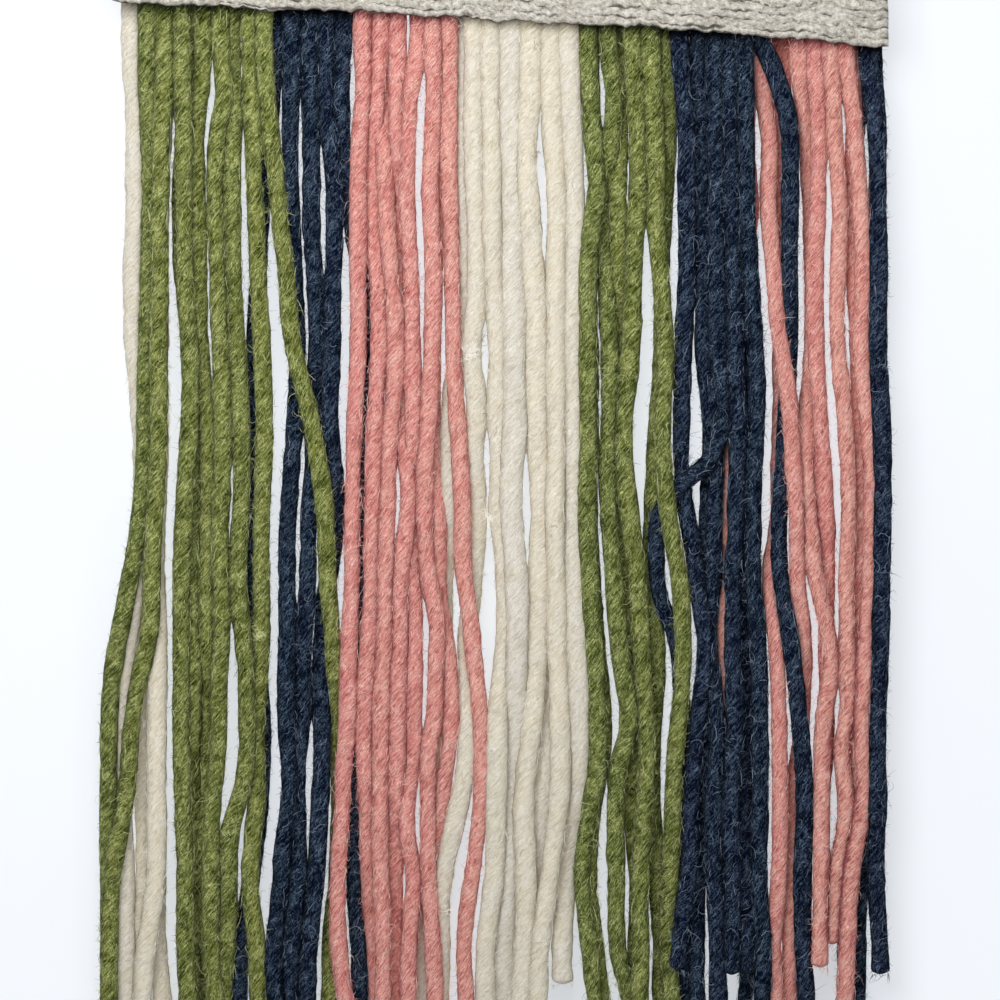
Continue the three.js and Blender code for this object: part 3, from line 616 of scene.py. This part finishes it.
def fuzz_part(run, wool, yarn, random, stray):
    """One strand's loose fibres: the short ones that soften it, or the long stray ones."""
    line, at = path_of(run)
    total = int((yarn.strays if stray else yarn.fibres) * at[-1] / FIBRES_OVER)
    # A few more fibres stand at the cut end.
    share = np.minimum(random.random(total) ** 1.08 * 1.01, 1)
    place = FIBRES_FROM + (at[-1] - FIBRES_FROM) * share
    centre, down = (
        np.stack([np.interp(place, at, values[:, k]) for k in range(3)], 1)
        for values in (line, unit(np.gradient(line, axis=0)))
    )
    turn = random.random(total) * 2 * math.pi
    at_side = random.random(total) < 0.5
    beside = np.where(random.random(total) < 0.5, 0.3, math.pi - 0.3)
    beside += random.normal(0, 0.45, total)
    angle = np.where(at_side, beside, turn)[:, None]
    ends = place > at[-1] - TIP_LENGTH
    side, front = strand_frame(down)
    cos, sin = np.cos(angle), np.sin(angle)
    half_width = side * cos * wool.width * run.fuller / 2
    start = centre + 0.95 * (half_width + front * sin * half_depth(yarn))
    pitch = np.radians(random.normal(36, 22, total))[:, None]
    way = down * np.cos(pitch) + (front * cos - side * sin) * np.sin(pitch)
    way *= np.where((random.random((total, 1)) < 0.5) & ~ends[:, None], -1, 1)
    if stray:
        length, lift = random.uniform(2.0, 5.0, total), 0.15 + random.random(total) ** 2
        bend, light = random.normal(0, 1.9, total), random.uniform(0.7, 1.0, total)
    else:
        length, lift = random.uniform(0.9, 2.8, total), 0.06 + 0.6 * random.random(total) ** 2
        bend, light = random.normal(0, 1.3, total), random.random(total) ** 1.5
    segments = 5 if stray else 2
    out = side * cos + front * sin
    points, faces = blades(start, way, out, length, lift, bend, yarn.fibre, segments, random)
    return points, [faces], {"fibre_light": np.repeat(light, (segments + 1) * 2)}


def tuft_part(run, wool, yarn, random, tuft):
    """A small tuft or slub of tangled fibres on the front of a strand."""
    drop, aside, light, count = tuft
    x, y = (np.interp(drop, LEVELS, values) for values in (run.x, run.y))
    round_off = math.sqrt(max(1 - (2 * aside / wool.width) ** 2, 0.1))
    rise = 0.54 * STRAND_DEPTH * yarn.fullness * round_off
    place = np.array([x + aside, y - rise, -(BAND_HEIGHT + drop)])
    start = place + random.normal(0, 0.35, (count, 3)) * [1.0, 0.3, 1.6]
    turn = random.uniform(0, 2 * math.pi, count)
    way = np.stack([np.cos(turn), 0 * turn, np.sin(turn)], 1)
    out = np.tile([0.0, -1.0, 0.0], (count, 1))
    length, lift = random.uniform(0.6, 2.2, count), random.uniform(0.1, 0.6, count)
    bend, width = random.normal(0, 2.2, count), yarn.fibre * 1.2
    points, faces = blades(start, way, out, length, lift, bend, width, 4, random)
    return points, [faces], {"fibre_light": np.full(len(points), light)}


KNOT_RINGS, KNOT_SIDES = 20, 10
KNOT_THICK = 0.85
KNOT_ABOVE = 5.0  # from the band's lower edge to the knots' middles


def knot_part(run, wool):
    """The wrap of yarn that ties a strand on behind the band."""
    line, _ = path_of(run)
    middle = np.argmin(np.abs(line[:, 2] + BAND_HEIGHT + edge_drop(line[0, 0]) - KNOT_ABOVE))
    around = np.linspace(0, 2 * math.pi, KNOT_RINGS, endpoint=False)[:, None]
    theta = np.linspace(0, 2 * math.pi, KNOT_SIDES, endpoint=False)[None, :]
    up = np.array([0, 0, 1.0])
    away = np.concatenate([np.cos(around), np.sin(around), 0 * around], 1)
    reach = [wool.width / 2 - 0.1, STRAND_DEPTH / 2 + 0.25, 0]
    ring = line[middle] + away * reach + up * (0.5 * np.cos(around + run.number))
    points = ring[:, None, :] + KNOT_THICK * (
        away[:, None, :] * np.cos(theta)[..., None] + up * np.sin(theta)[..., None] * 1.15
    )
    points = points.reshape(-1, 3)
    attributes = {
        "wool_lay": wool_lay(theta - 2 * around, around * 1.7 + STRAND_APART * run.number),
        "wool_tone": np.full(len(points), 0.5),
        "painted_shade": np.zeros(len(points)),
    }
    return points, [grid_faces(KNOT_RINGS + 1, KNOT_SIDES, True) % len(points)], attributes


# ---- The woven band ----

PITCH = 1.9  # from one weft row to the next
NUB = 1.5  # from one nub of a weft row to the next
COLUMNS, ROWS = 373, 181  # points over the band's front, each one more than a multiple of COARSE
COARSE = 4  # the back has one point where the front has this many
TO_EDGE = 1.25  # over 1, the points crowd towards the lower edge
FIRST_ROW = 68  # how far above the lower edge the count of the weft rows starts
BACK_RELIEF = 0.3  # how far the weft rows stand out of the back at most
# The painted crease shade on the back is this strong.
BACK_CREASE_SHADE = 0.3  # how dark the creases are there


def weave(u, down, seed, relief):
    """The weft's relief and the painted shade in its creases and low places, over u across and
    down the cloth, in millimetres.
    """
    drift = 0.55 * noise(seed, u / 17, down / 7) + 0.35 * noise(seed + 1, u / 5, down / 3)
    row = down / PITCH + drift
    number = np.floor(row)
    part = row - number
    ridge = np.sqrt(np.clip(1 - (2 * part - 1) ** 2, 0, 1))
    strength = 0.5 + 0.5 * noise(seed + 3, u / 6 + 13 * number, number)
    place = u / NUB + 0.37 * number + 0.9 * noise(seed + 2, u / 2.6 + 17 * number, 1.7 * number)
    nub = np.sqrt(np.clip(1 - (2 * (place - np.floor(place)) - 1) ** 2, 0, 1))
    nub *= 0.6 + 0.4 * noise(seed + 1, u / 2.1 + 5 * number, 2.3 * number)
    grain = 0.5 * noise(seed + 2, u / 1.7, down / 1.3) + 0.3 * noise(seed + 1, u / 0.9, down / 0.7)
    height = ridge * (0.4 + 0.35 * strength + 0.45 * nub) + 0.35 * grain
    crease_shade = (1 - ridge) ** 0.8 * np.clip(2.4 * strength - 0.9, 0, 1.1)
    return relief * height, np.clip(crease_shade + 0.9 * (0.5 - height), 0, 1), row


def band_side(step, is_front, relief):
    """The points, the weft's own coordinates and the painted crease shade of the band's front or
    back.
    """
    x = np.linspace(-BAND_WIDTH / 2, BAND_WIDTH / 2, COLUMNS)[None, ::step]
    t = 1 - (1 - np.linspace(0, 1, ROWS)[::step, None]) ** TO_EDGE
    lowest = BAND_HEIGHT + edge_drop(x)
    lowest = lowest + 0.35 * noise(5, x / 2.3, 0.5) + 0.25 * noise(6, x / 0.9, 2)
    down = t * lowest
    across = np.broadcast_to(x, down.shape)
    lift, crease_shade, row = weave(across, down - lowest + FIRST_ROW, 0 if is_front else 3, relief)
    inset = np.minimum(np.minimum(down, lowest - down), BAND_WIDTH / 2 - np.abs(x))
    round_off = np.sqrt(np.clip(1 - (1 - np.clip(inset, 0, 1)) ** 2, 0, 1))
    # Painted shade along the band's lower edge.
    crease_shade = np.maximum(crease_shade, 1 - (lowest - down) / 0.2)
    middle = np.interp(down, *zip(*BAND_HANG)) * BAND_BACK_Y - BAND_THICKNESS / 2
    half = (BAND_THICKNESS / 2 + lift - relief * 0.4) * round_off
    flat_half = np.minimum(half, BAND_THICKNESS / 2 + BACK_RELIEF)
    y = middle - half if is_front else middle + flat_half
    sway = 0.25 * noise(4, down / 3 + 50, 0.3)
    points = np.stack([x * (1 + sway / 80), y, -down], -1)
    lay = np.stack([across, row * PITCH, 0 * down], -1)
    return points, lay, crease_shade


def rim_of(rows, columns):
    """The numbers of the points round a grid's edge, in order."""
    number = np.arange(rows * columns).reshape(rows, columns)
    return np.concatenate([number[0, :-1], number[:-1, -1], number[-1, :0:-1], number[:0:-1, 0]])


def band_mesh(relief):
    """The band as one closed sheet: a fine front, a coarser back, and its rim between them."""
    front, back = band_side(1, True, relief), band_side(COARSE, False, relief)
    points, lay = (
        np.concatenate([side[k].reshape(-1, 3) for side in (front, back)]) for k in (0, 1)
    )
    crease_shade = np.concatenate([front[2].ravel(), BACK_CREASE_SHADE * back[2].ravel()])
    back_grid, start = back[0].shape[:2], ROWS * COLUMNS
    fine, coarse = rim_of(ROWS, COLUMNS), rim_of(*back_grid) + start
    corners = [fine[::COARSE], coarse, np.roll(coarse, -1)]
    corners += [np.roll(fine, -k)[::COARSE] for k in range(COARSE, 0, -1)]
    front_faces = grid_faces(ROWS, COLUMNS, False)[:, ::-1]
    back_faces = grid_faces(*back_grid, False) + start
    faces = [front_faces, back_faces, np.stack(corners, 1)]
    return points, faces, {"weft_lay": lay, "crease_shade": crease_shade}


# ---- Shaders ----

class Value:
    """A shader value; Python's operators on it add Math nodes."""

    def __init__(self, finish, socket):
        self.finish, self.socket = finish, socket

    def _with(self, operation, *values):
        inputs = dict(enumerate(values))
        return self.finish.node("ShaderNodeMath", {"operation": operation}, inputs)

    def __add__(self, other):
        return self._with("ADD", self, other)

    def __mul__(self, other):
        return self._with("MULTIPLY", self, other)

    def __sub__(self, other):
        return self._with("SUBTRACT", self, other)

    def __rsub__(self, other):
        return self._with("SUBTRACT", other, self)

    __radd__, __rmul__ = __add__, __mul__

    def __abs__(self):
        return self._with("ABSOLUTE", self)

    def clipped(self):
        return self._with("MINIMUM", self._with("MAXIMUM", self, 0.0), 1.0)


class Finish:
    """A material whose nodes are added one by one."""

    def __init__(self, name):
        self.material = bpy.data.materials.new(name)
        self.material.use_nodes = True
        self.tree = self.material.node_tree
        self.tree.nodes.clear()

    def node(self, kind, settings=None, inputs=None, output=0):
        node = self.tree.nodes.new(kind)
        for key, value in (settings or {}).items():
            setattr(node, key, value)
        for key, value in (inputs or {}).items():
            if isinstance(value, Value):
                self.tree.links.new(value.socket, node.inputs[key])
            else:
                node.inputs[key].default_value = value
        return Value(self, node.outputs[output])

    def attribute(self, name, output):
        return self.node("ShaderNodeAttribute", {"attribute_name": name}, output=output)

    def noise(self, vector, stretch, detail=2.0, roughness=0.55):
        settings = {"operation": "MULTIPLY"}
        stretched = self.node("ShaderNodeVectorMath", settings, {0: vector, 1: stretch})
        inputs = {"Vector": stretched, "Scale": 1.0, "Detail": detail, "Roughness": roughness}
        return self.node("ShaderNodeTexNoise", {}, inputs, "Fac")

    def hairs(self, vector, stretch, width):
        """Thin winding lines, 1 on a line and 0 off it."""
        field = self.noise(vector, stretch, 1.0)
        return (1.0 - abs(field - 0.5) * (1 / width)).clipped()

    def ramp(self, value, stops):
        colour = self.node("ShaderNodeValToRGB", {}, {"Fac": value}, "Color")
        elements = colour.socket.node.color_ramp.elements
        while len(elements) < len(stops):
            elements.new(1.0)
        for element, (place, shade) in zip(elements, stops):
            element.position, element.color = place, shade
        return colour

    def mix(self, factor, first, second):
        inputs = {0: factor, 6: first, 7: second}
        return self.node("ShaderNodeMix", {"data_type": "RGBA"}, inputs, 2)

    def bump(self, height, strength, distance):
        inputs = {"Height": height, "Strength": strength, "Distance": distance}
        return self.node("ShaderNodeBump", {}, inputs, "Normal")

    def surface(self, shader):
        end = self.tree.nodes.new("ShaderNodeOutputMaterial")
        self.tree.links.new(shader.socket, end.inputs["Surface"])
        return self.material

    def cloth(self, colour, sheen, **normal):
        inputs = {"Base Color": colour, "Roughness": 0.92, "Specular IOR Level": 0.06}
        inputs |= {"Sheen Weight": sheen, "Sheen Roughness": 0.45, **normal}
        return self.surface(self.node("ShaderNodeBsdfPrincipled", {}, inputs))


def linear(red, green, blue):
    """A screen colour, 0 to 255, as the linear colour that sockets take."""
    shares = [channel / 255 for channel in (red, green, blue)]
    curve = [s / 12.92 if s <= 0.04045 else ((s + 0.055) / 1.055) ** 2.4 for s in shares]
    return (*curve, 1.0)


# A wool's dark tone (its darkest fibres, and the colour of its painted shade), its body in two
# shades, its light fibres (partly a painted highlight) and its loose ones, then its strands' width
# in mm, its contrast, its sheen, how light its fibres lie, and how strong its painted shade is
# beside its neighbours and under the band.
Wool = namedtuple("Wool", "hollow body other light loose width contrast sheen lit valley")
WOOLS = {
    name: Wool(*(linear(*colour) for colour in colours), *numbers)
    for name, colours, numbers in (
        ("cream", [(156, 144, 120), (220, 213, 199), (226, 216, 192), (252, 248, 240),
                   (248, 243, 232)], (4.0, 0.65, 0.06, 0.42, 0.75)),
        ("green", [(30, 38, 6), (96, 108, 50), (116, 122, 54), (204, 208, 140),
                   (208, 212, 152)], (3.58, 1.4, 0.06, 0.56, 1.15)),
        ("navy", [(0, 1, 6), (1, 18, 36), (10, 17, 44), (112, 132, 154),
                  (140, 156, 176)], (3.52, 1.1, 0.0, 0.42, 1.4)),
        ("pink", [(134, 62, 64), (222, 142, 132), (230, 163, 146), (252, 214, 202),
                  (250, 210, 198)], (3.32, 1.05, 0.06, 0.52, 0.95)),
    )
}


def wool_finish(name, wool):
    finish = Finish(name)
    lay = finish.attribute("wool_lay", "Vector")
    tone = finish.attribute("wool_tone", "Fac")
    place = finish.node("ShaderNodeTexCoord", output="Object")
    # Along the yarn's lay: fine fibres, wisps of them and longer patches, then single hairs.
    fine = finish.noise(lay, (5.2, 5.2, 0.8), 3.0, 0.62)
    wisp = finish.noise(lay, (1.9, 1.9, 0.36))
    patch = finish.noise(lay, (0.3, 0.3, 0.12))
    curls = finish.hairs(lay, (1.7, 1.7, 0.85), 0.03)
    curls = curls + finish.hairs(lay, (2.7, 2.7, 0.7), 0.035)
    crossing = finish.hairs(place, (1700, 1700, 600), 0.035)
    # The gaps between the plies: a little sunk by the bump, and painted darker as shade.
    shaded_gaps = finish.hairs(lay, (2.1, 2.1, 0.45), 0.05)
    depth = finish.noise(place, (420, 420, 300))
    straight = finish.hairs(lay, (3.6, 3.6, 0.4), 0.06)
    # Painted shade beside the neighbours, low down and to the right, and under the band.
    painted_shade = finish.attribute("painted_shade", "Fac") * wool.valley
    shade = (patch - 0.5) * 1.6 + (tone - 0.5) * 1.1 + 0.5
    body = finish.mix(shade.clipped(), wool.body, wool.other)
    spread = (fine - 0.5) * 2.0 + (wisp - 0.5) * 0.5 + (depth - 0.5) * 0.5
    # Dark: the fibres' own texture, the painted shade in the ply gaps, and the painted shade above.
    dark = (0.16 - spread * 1.5 + shaded_gaps * 0.35) * wool.contrast + painted_shade
    # Mixes towards the wool's dark tone: its darkest fibres and its painted shade.
    colour = finish.mix(dark.clipped(), body, wool.hollow)
    # Light hair lines: the wool's paler fibres and partly a painted highlight, which the painted
    # shade dims.
    lines = curls * ((depth - 0.4) * 5.0).clipped() + crossing * 0.6
    lines = lines + straight * ((wisp - 0.4) * 5.0).clipped()
    lit = (lines * 1.3 + spread * 0.5 - 0.2) * wool.lit * (1.0 - painted_shade * 0.9)
    colour = finish.mix(lit.clipped(), colour, wool.light)
    height = fine * 0.7 + wisp * 0.2 + lines * 0.2 - shaded_gaps * 0.15
    normal = finish.bump(height, 0.8, 0.3 * MM)
    return finish.cloth(colour, wool.sheen, Normal=normal)


def fuzz_finish(name, wool):
    finish = Finish(name)
    light = finish.attribute("fibre_light", "Fac")
    colour = finish.ramp(light, [(0.0, wool.hollow), (0.2, wool.body), (1.0, wool.loose)])
    return finish.cloth(colour, wool.sheen)


def band_finish(name):
    finish = Finish(name)
    lay = finish.attribute("weft_lay", "Vector")
    crease_shade = finish.attribute("crease_shade", "Fac")
    nub = finish.noise(lay, (0.9, 1.3, 1.0), 3.0, 0.6)
    fleck = finish.noise(lay, (3.0, 4.0, 1.0), 2.0, 0.6)
    cloud = finish.noise(lay, (0.12, 0.25, 1.0))
    threads = finish.hairs(lay, (1.4, 2.6, 1.0), 0.05)
    # The nubs that the bump raises are painted lighter and the sunk ones darker, a painted highlight
    # and shade, with the weft's own flecks and clouds.
    value = (nub - 0.5) * 1.6 + (fleck - 0.5) * 0.8 + (cloud - 0.5) * 0.5 + threads * 0.15 + 0.5
    dim_and_shade, plain, bright_and_highlight = linear(130, 122, 109), linear(192, 185, 173), linear(236, 232, 222)
    colour = finish.ramp(value.clipped(), [(0.1, dim_and_shade), (0.45, plain), (0.85, bright_and_highlight)])
    # Painted shade in the weave's creases, between its nubs and along the band's lower edge.
    shaded_pits = ((crease_shade - 0.16) * 1.8 + (0.45 - nub) * 1.6).clipped()
    dark = finish.mix(shaded_pits * 0.9, colour, linear(84, 76, 66))
    normal = finish.bump(nub + fleck * 0.7 + threads * 0.2 - shaded_pits * 0.3, 0.9, 0.45 * MM)
    return finish.cloth(dark, 0.05, Normal=normal)


# The painted dusk shade: the wall's glow is painted darker behind the hanging's lower part.
DUSK_TOP, DUSK_FULL, DUSK_FOOT = -0.14, -0.27, -0.31  # heights on the wall, in metres


def one_sided_finish(name, colour, glow, painted_dusk):
    """A plain matte stage surface that isn't there when seen from behind. The camera sees it
    partly lit by itself, so that it stays pale, and the object gets no light from that. Low
    behind the hanging, that self-lit paleness is painted darker, a painted dusk shade."""
    finish = Finish(name)
    behind = finish.node("ShaderNodeNewGeometry", output="Backfacing")
    seen = finish.node("ShaderNodeLightPath", output="Is Camera Ray")
    to_lamp = finish.node("ShaderNodeLightPath", output="Is Shadow Ray")
    place = finish.node("ShaderNodeTexCoord", output="Object")
    height = finish.node("ShaderNodeSeparateXYZ", {}, {"Vector": place}, "Z")
    aside = finish.node("ShaderNodeSeparateXYZ", {}, {"Vector": place}, "X")
    low = ((DUSK_TOP - height) * (1 / (DUSK_TOP - DUSK_FULL))).clipped()
    # The painted dusk shade ends softly beside the hanging, from 71 to 87 mm, and beneath it.
    beside = (aside * aside * 400.0 - 2.0).clipped()
    beneath = ((height - DUSK_FOOT) * 25.0).clipped()
    level = 1.0 - low * (1.0 - beside) * beneath * painted_dusk
    shade = finish.mix(level, (0.0, 0.0, 0.0, 1.0), colour)
    matte = finish.node("ShaderNodeBsdfDiffuse", {}, {"Color": colour})
    shine = finish.node("ShaderNodeEmission", {}, {"Color": shade})
    pale = finish.node("ShaderNodeMixShader", {}, {0: seen * glow, 1: matte, 2: shine})
    clear = finish.node("ShaderNodeBsdfTransparent")
    gone = (behind + to_lamp).clipped()
    return finish.surface(finish.node("ShaderNodeMixShader", {}, {0: gone, 1: pale, 2: clear}))


# ---- Settings, as a user would change them ----

class YarnSettings(bpy.types.PropertyGroup):
    """The fringe's wool."""
    turn: bpy.props.FloatProperty(
        name="Twist length", description="Length of strand for one turn of its twist, in mm",
        default=13.5, min=5, max=40)
    fullness: bpy.props.FloatProperty(
        name="Fullness", description="Depth of a strand against its room", default=1.25,
        subtype="FACTOR", min=0.5, max=1.5)
    fibres: bpy.props.IntProperty(
        name="Short fibres", description="Short loose fibres on each 200 mm of strand",
        default=1500)
    strays: bpy.props.IntProperty(
        name="Stray fibres", description="Long stray fibres on each 200 mm of strand", default=110)
    fibre: bpy.props.FloatProperty(
        name="Fibre width", description="Width of a loose fibre, in mm", default=0.085)


class BandSettings(bpy.types.PropertyGroup):
    """The woven band."""
    relief: bpy.props.FloatProperty(
        name="Relief", description="How far the weft rows stand out, in mm", default=1.0)


class StageSettings(bpy.types.PropertyGroup):
    """The light, the camera and the pale surfaces."""
    wall: bpy.props.FloatVectorProperty(
        name="Wall", description="Colour of the wall", size=3, subtype="COLOR",
        default=linear(246, 250, 255)[:3])
    glow: bpy.props.FloatProperty(
        name="Glow", description="Share of the wall's paleness that the camera always sees",
        default=0.7, subtype="FACTOR", min=0, max=1)
    painted_dusk: bpy.props.FloatProperty(
        name="Dusk", description="Share of that paleness lost at the foot of the wall",
        default=0.22, subtype="FACTOR", min=0, max=1)
    key: bpy.props.FloatProperty(
        name="Key light", description="Power of the key light", default=1.28, unit="POWER")
    back: bpy.props.FloatProperty(
        name="Back light", description="Power of the light on the hanging's back", default=9.0,
        unit="POWER")
    sky: bpy.props.FloatProperty(
        name="Sky light", description="Strength of the even light", default=0.5)
    view: bpy.props.FloatProperty(
        name="View height", description="Height that the camera takes in", default=0.2,
        unit="LENGTH")


# ---- Operators ----

# The stage, in metres. A lamp's place is from the middle of the view.
VIEW_DROP = 0.1  # from the line that drops are measured from to that middle
CAMERA_AWAY = 1.2
KEY_SIZE, KEY_PLACE = 0.24, (-0.07, -0.33, 0.17)
BACK_SIZE, BACK_PLACE = 0.6, (0, 1.0, 0.1)
SKY_COLOUR = (0.95, 0.97, 1, 1)
WALL_SIZE, WALL_BEHIND = 0.9, 0.0009
FLOOR_SIZE, FLOOR_BELOW = 3, 0.25
FIRST_SEED = 50


class HANGING_OT_fringe(bpy.types.Operator):
    """Build the fringe: each bunch's strands with their knots, and their loose fibres"""
    bl_idname = "hanging.fringe"
    bl_label = "Fringe"

    def execute(self, context):
        yarn = context.scene.hanging_yarn
        runs = settle(COMBS)
        for number, comb in enumerate(COMBS):
            wool = WOOLS[comb.wool]
            own = [run for run in runs if run.comb is comb]
            parts = [strand_part(run, wool, yarn) for run in own]
            parts += [knot_part(run, wool) for run in own]
            strands = add_mesh(comb.name + "_strands", *joined(parts))
            strands.data.materials.append(wool_finish("wool_" + comb.name, wool))
            random = np.random.default_rng(FIRST_SEED + number)
            parts = [
                fuzz_part(run, wool, yarn, random, stray) for run in own for stray in (False, True)
            ]
            for strand, *tuft in TUFTS.get(comb.name, []):
                parts.append(tuft_part(own[strand], wool, yarn, random, tuft))
            fuzz = add_mesh(comb.name + "_fibres", *joined(parts))
            fuzz.data.materials.append(fuzz_finish("fibre_" + comb.name, wool))
            for piece in (strands, fuzz):
                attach(piece, "root")
                "wool_" + comb.wool
            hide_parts(comb.name)
        return {"FINISHED"}


class HANGING_OT_band(bpy.types.Operator):
    """Build the woven band, which carries the fringe"""
    bl_idname = "hanging.band"
    bl_label = "Woven band"

    def execute(self, context):
        points, faces, attributes = band_mesh(context.scene.hanging_band.relief)
        band = add_mesh("band_weave", points, faces, attributes)
        band.data.materials.append(band_finish("band_weft"))
        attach(band, "root")
        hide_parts("woven_band")
        return {"FINISHED"}


class HANGING_OT_stage(bpy.types.Operator):
    """Set up the camera, the light, and the pale wall and floor"""
    bl_idname = "hanging.stage"
    bl_label = "Stage"

    def execute(self, context):
        scene, stage = context.scene, context.scene.hanging_stage
        middle = -BAND_HEIGHT * MM - VIEW_DROP
        centre = Vector((0, BAND_BACK_Y * MM, middle))
        self.set_camera(scene, stage, centre)
        self.add_lamp(scene, centre, "key", stage.key, KEY_SIZE, KEY_PLACE)
        # The wall keeps the sky from the hanging's back, and lets this lamp through.
        self.add_lamp(scene, centre, "back", stage.back, BACK_SIZE, BACK_PLACE)
        self.set_sky(scene, stage)
        pale = one_sided_finish("stage_wall", (*stage.wall, 1), stage.glow, stage.painted_dusk)
        upright = (math.pi / 2, 0, 0)
        wall = self.add_plane("stage_wall", WALL_SIZE, (0, WALL_BEHIND, middle), upright, pale)
        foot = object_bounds()[0][2] - FLOOR_BELOW
        floor = self.add_plane("stage_floor", FLOOR_SIZE, (0, 0, foot), (0, 0, 0), pale)
        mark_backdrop(wall, floor)
        scene.view_settings.view_transform = "Standard"
        return {"FINISHED"}

    @staticmethod
    def set_camera(scene, stage, centre):
        camera = bpy.data.objects.new("camera", bpy.data.cameras.new("camera"))
        scene.collection.objects.link(camera)
        camera.data.lens = camera.data.sensor_width * CAMERA_AWAY / stage.view
        camera.data.clip_start, camera.data.clip_end = 0.01, 20
        camera.location = centre + Vector((0, -CAMERA_AWAY, 0))
        camera.rotation_euler = (math.pi / 2, 0, 0)
        scene.camera = camera

    @staticmethod
    def add_lamp(scene, centre, name, power, size, place):
        light = bpy.data.lights.new(name, "AREA")
        light.energy, light.size = power, size
        lamp = bpy.data.objects.new(name, light)
        scene.collection.objects.link(lamp)
        lamp.location = centre + Vector(place)
        lamp.rotation_euler = (centre - lamp.location).to_track_quat("-Z", "Y").to_euler()

    @staticmethod
    def set_sky(scene, stage):
        scene.world = bpy.data.worlds.new("sky")
        scene.world.use_nodes = True
        sky = scene.world.node_tree.nodes["Background"]
        sky.inputs["Color"].default_value = SKY_COLOUR
        sky.inputs["Strength"].default_value = stage.sky

    @staticmethod
    def add_plane(name, size, place, turn, material):
        bpy.ops.object.select_all(action="DESELECT")
        bpy.ops.mesh.primitive_plane_add(size=size, location=place, rotation=turn)
        plane = bpy.context.object
        bpy.ops.object.transform_apply(location=True, rotation=True, scale=True)
        plane.name = name
        plane.data.materials.append(material)
        return plane


class HANGING_PT_panel(bpy.types.Panel):
    """Lists the hanging's operators and settings"""
    bl_label = "Woven wall hanging"
    bl_idname = "HANGING_PT_panel"
    bl_space_type = "VIEW_3D"
    bl_region_type = "UI"
    bl_category = "Hanging"

    def draw(self, context):
        for name in SETTINGS:
            settings = getattr(context.scene, name)
            self.layout.operator(SETTINGS[name][1])
            for key in settings.bl_rna.properties.keys():
                if key not in ("name", "rna_type"):
                    self.layout.prop(settings, key)


CLASSES = (
    YarnSettings, BandSettings, StageSettings,
    HANGING_OT_fringe, HANGING_OT_band, HANGING_OT_stage, HANGING_PT_panel,
)


SETTINGS = {
    "hanging_yarn": (YarnSettings, "hanging.fringe"),
    "hanging_band": (BandSettings, "hanging.band"),
    "hanging_stage": (StageSettings, "hanging.stage"),
}


def register():
    for each in CLASSES:
        bpy.utils.register_class(each)
    for name, (settings, _) in SETTINGS.items():
        setattr(bpy.types.Scene, name, bpy.props.PointerProperty(type=settings))


def unregister():
    for name in SETTINGS:
        delattr(bpy.types.Scene, name)
    for each in reversed(CLASSES):
        bpy.utils.unregister_class(each)


def main():
    register()
    bpy.ops.hanging.fringe()
    bpy.ops.hanging.band()
    bpy.ops.hanging.stage()


if __name__ == "__main__":
    main()
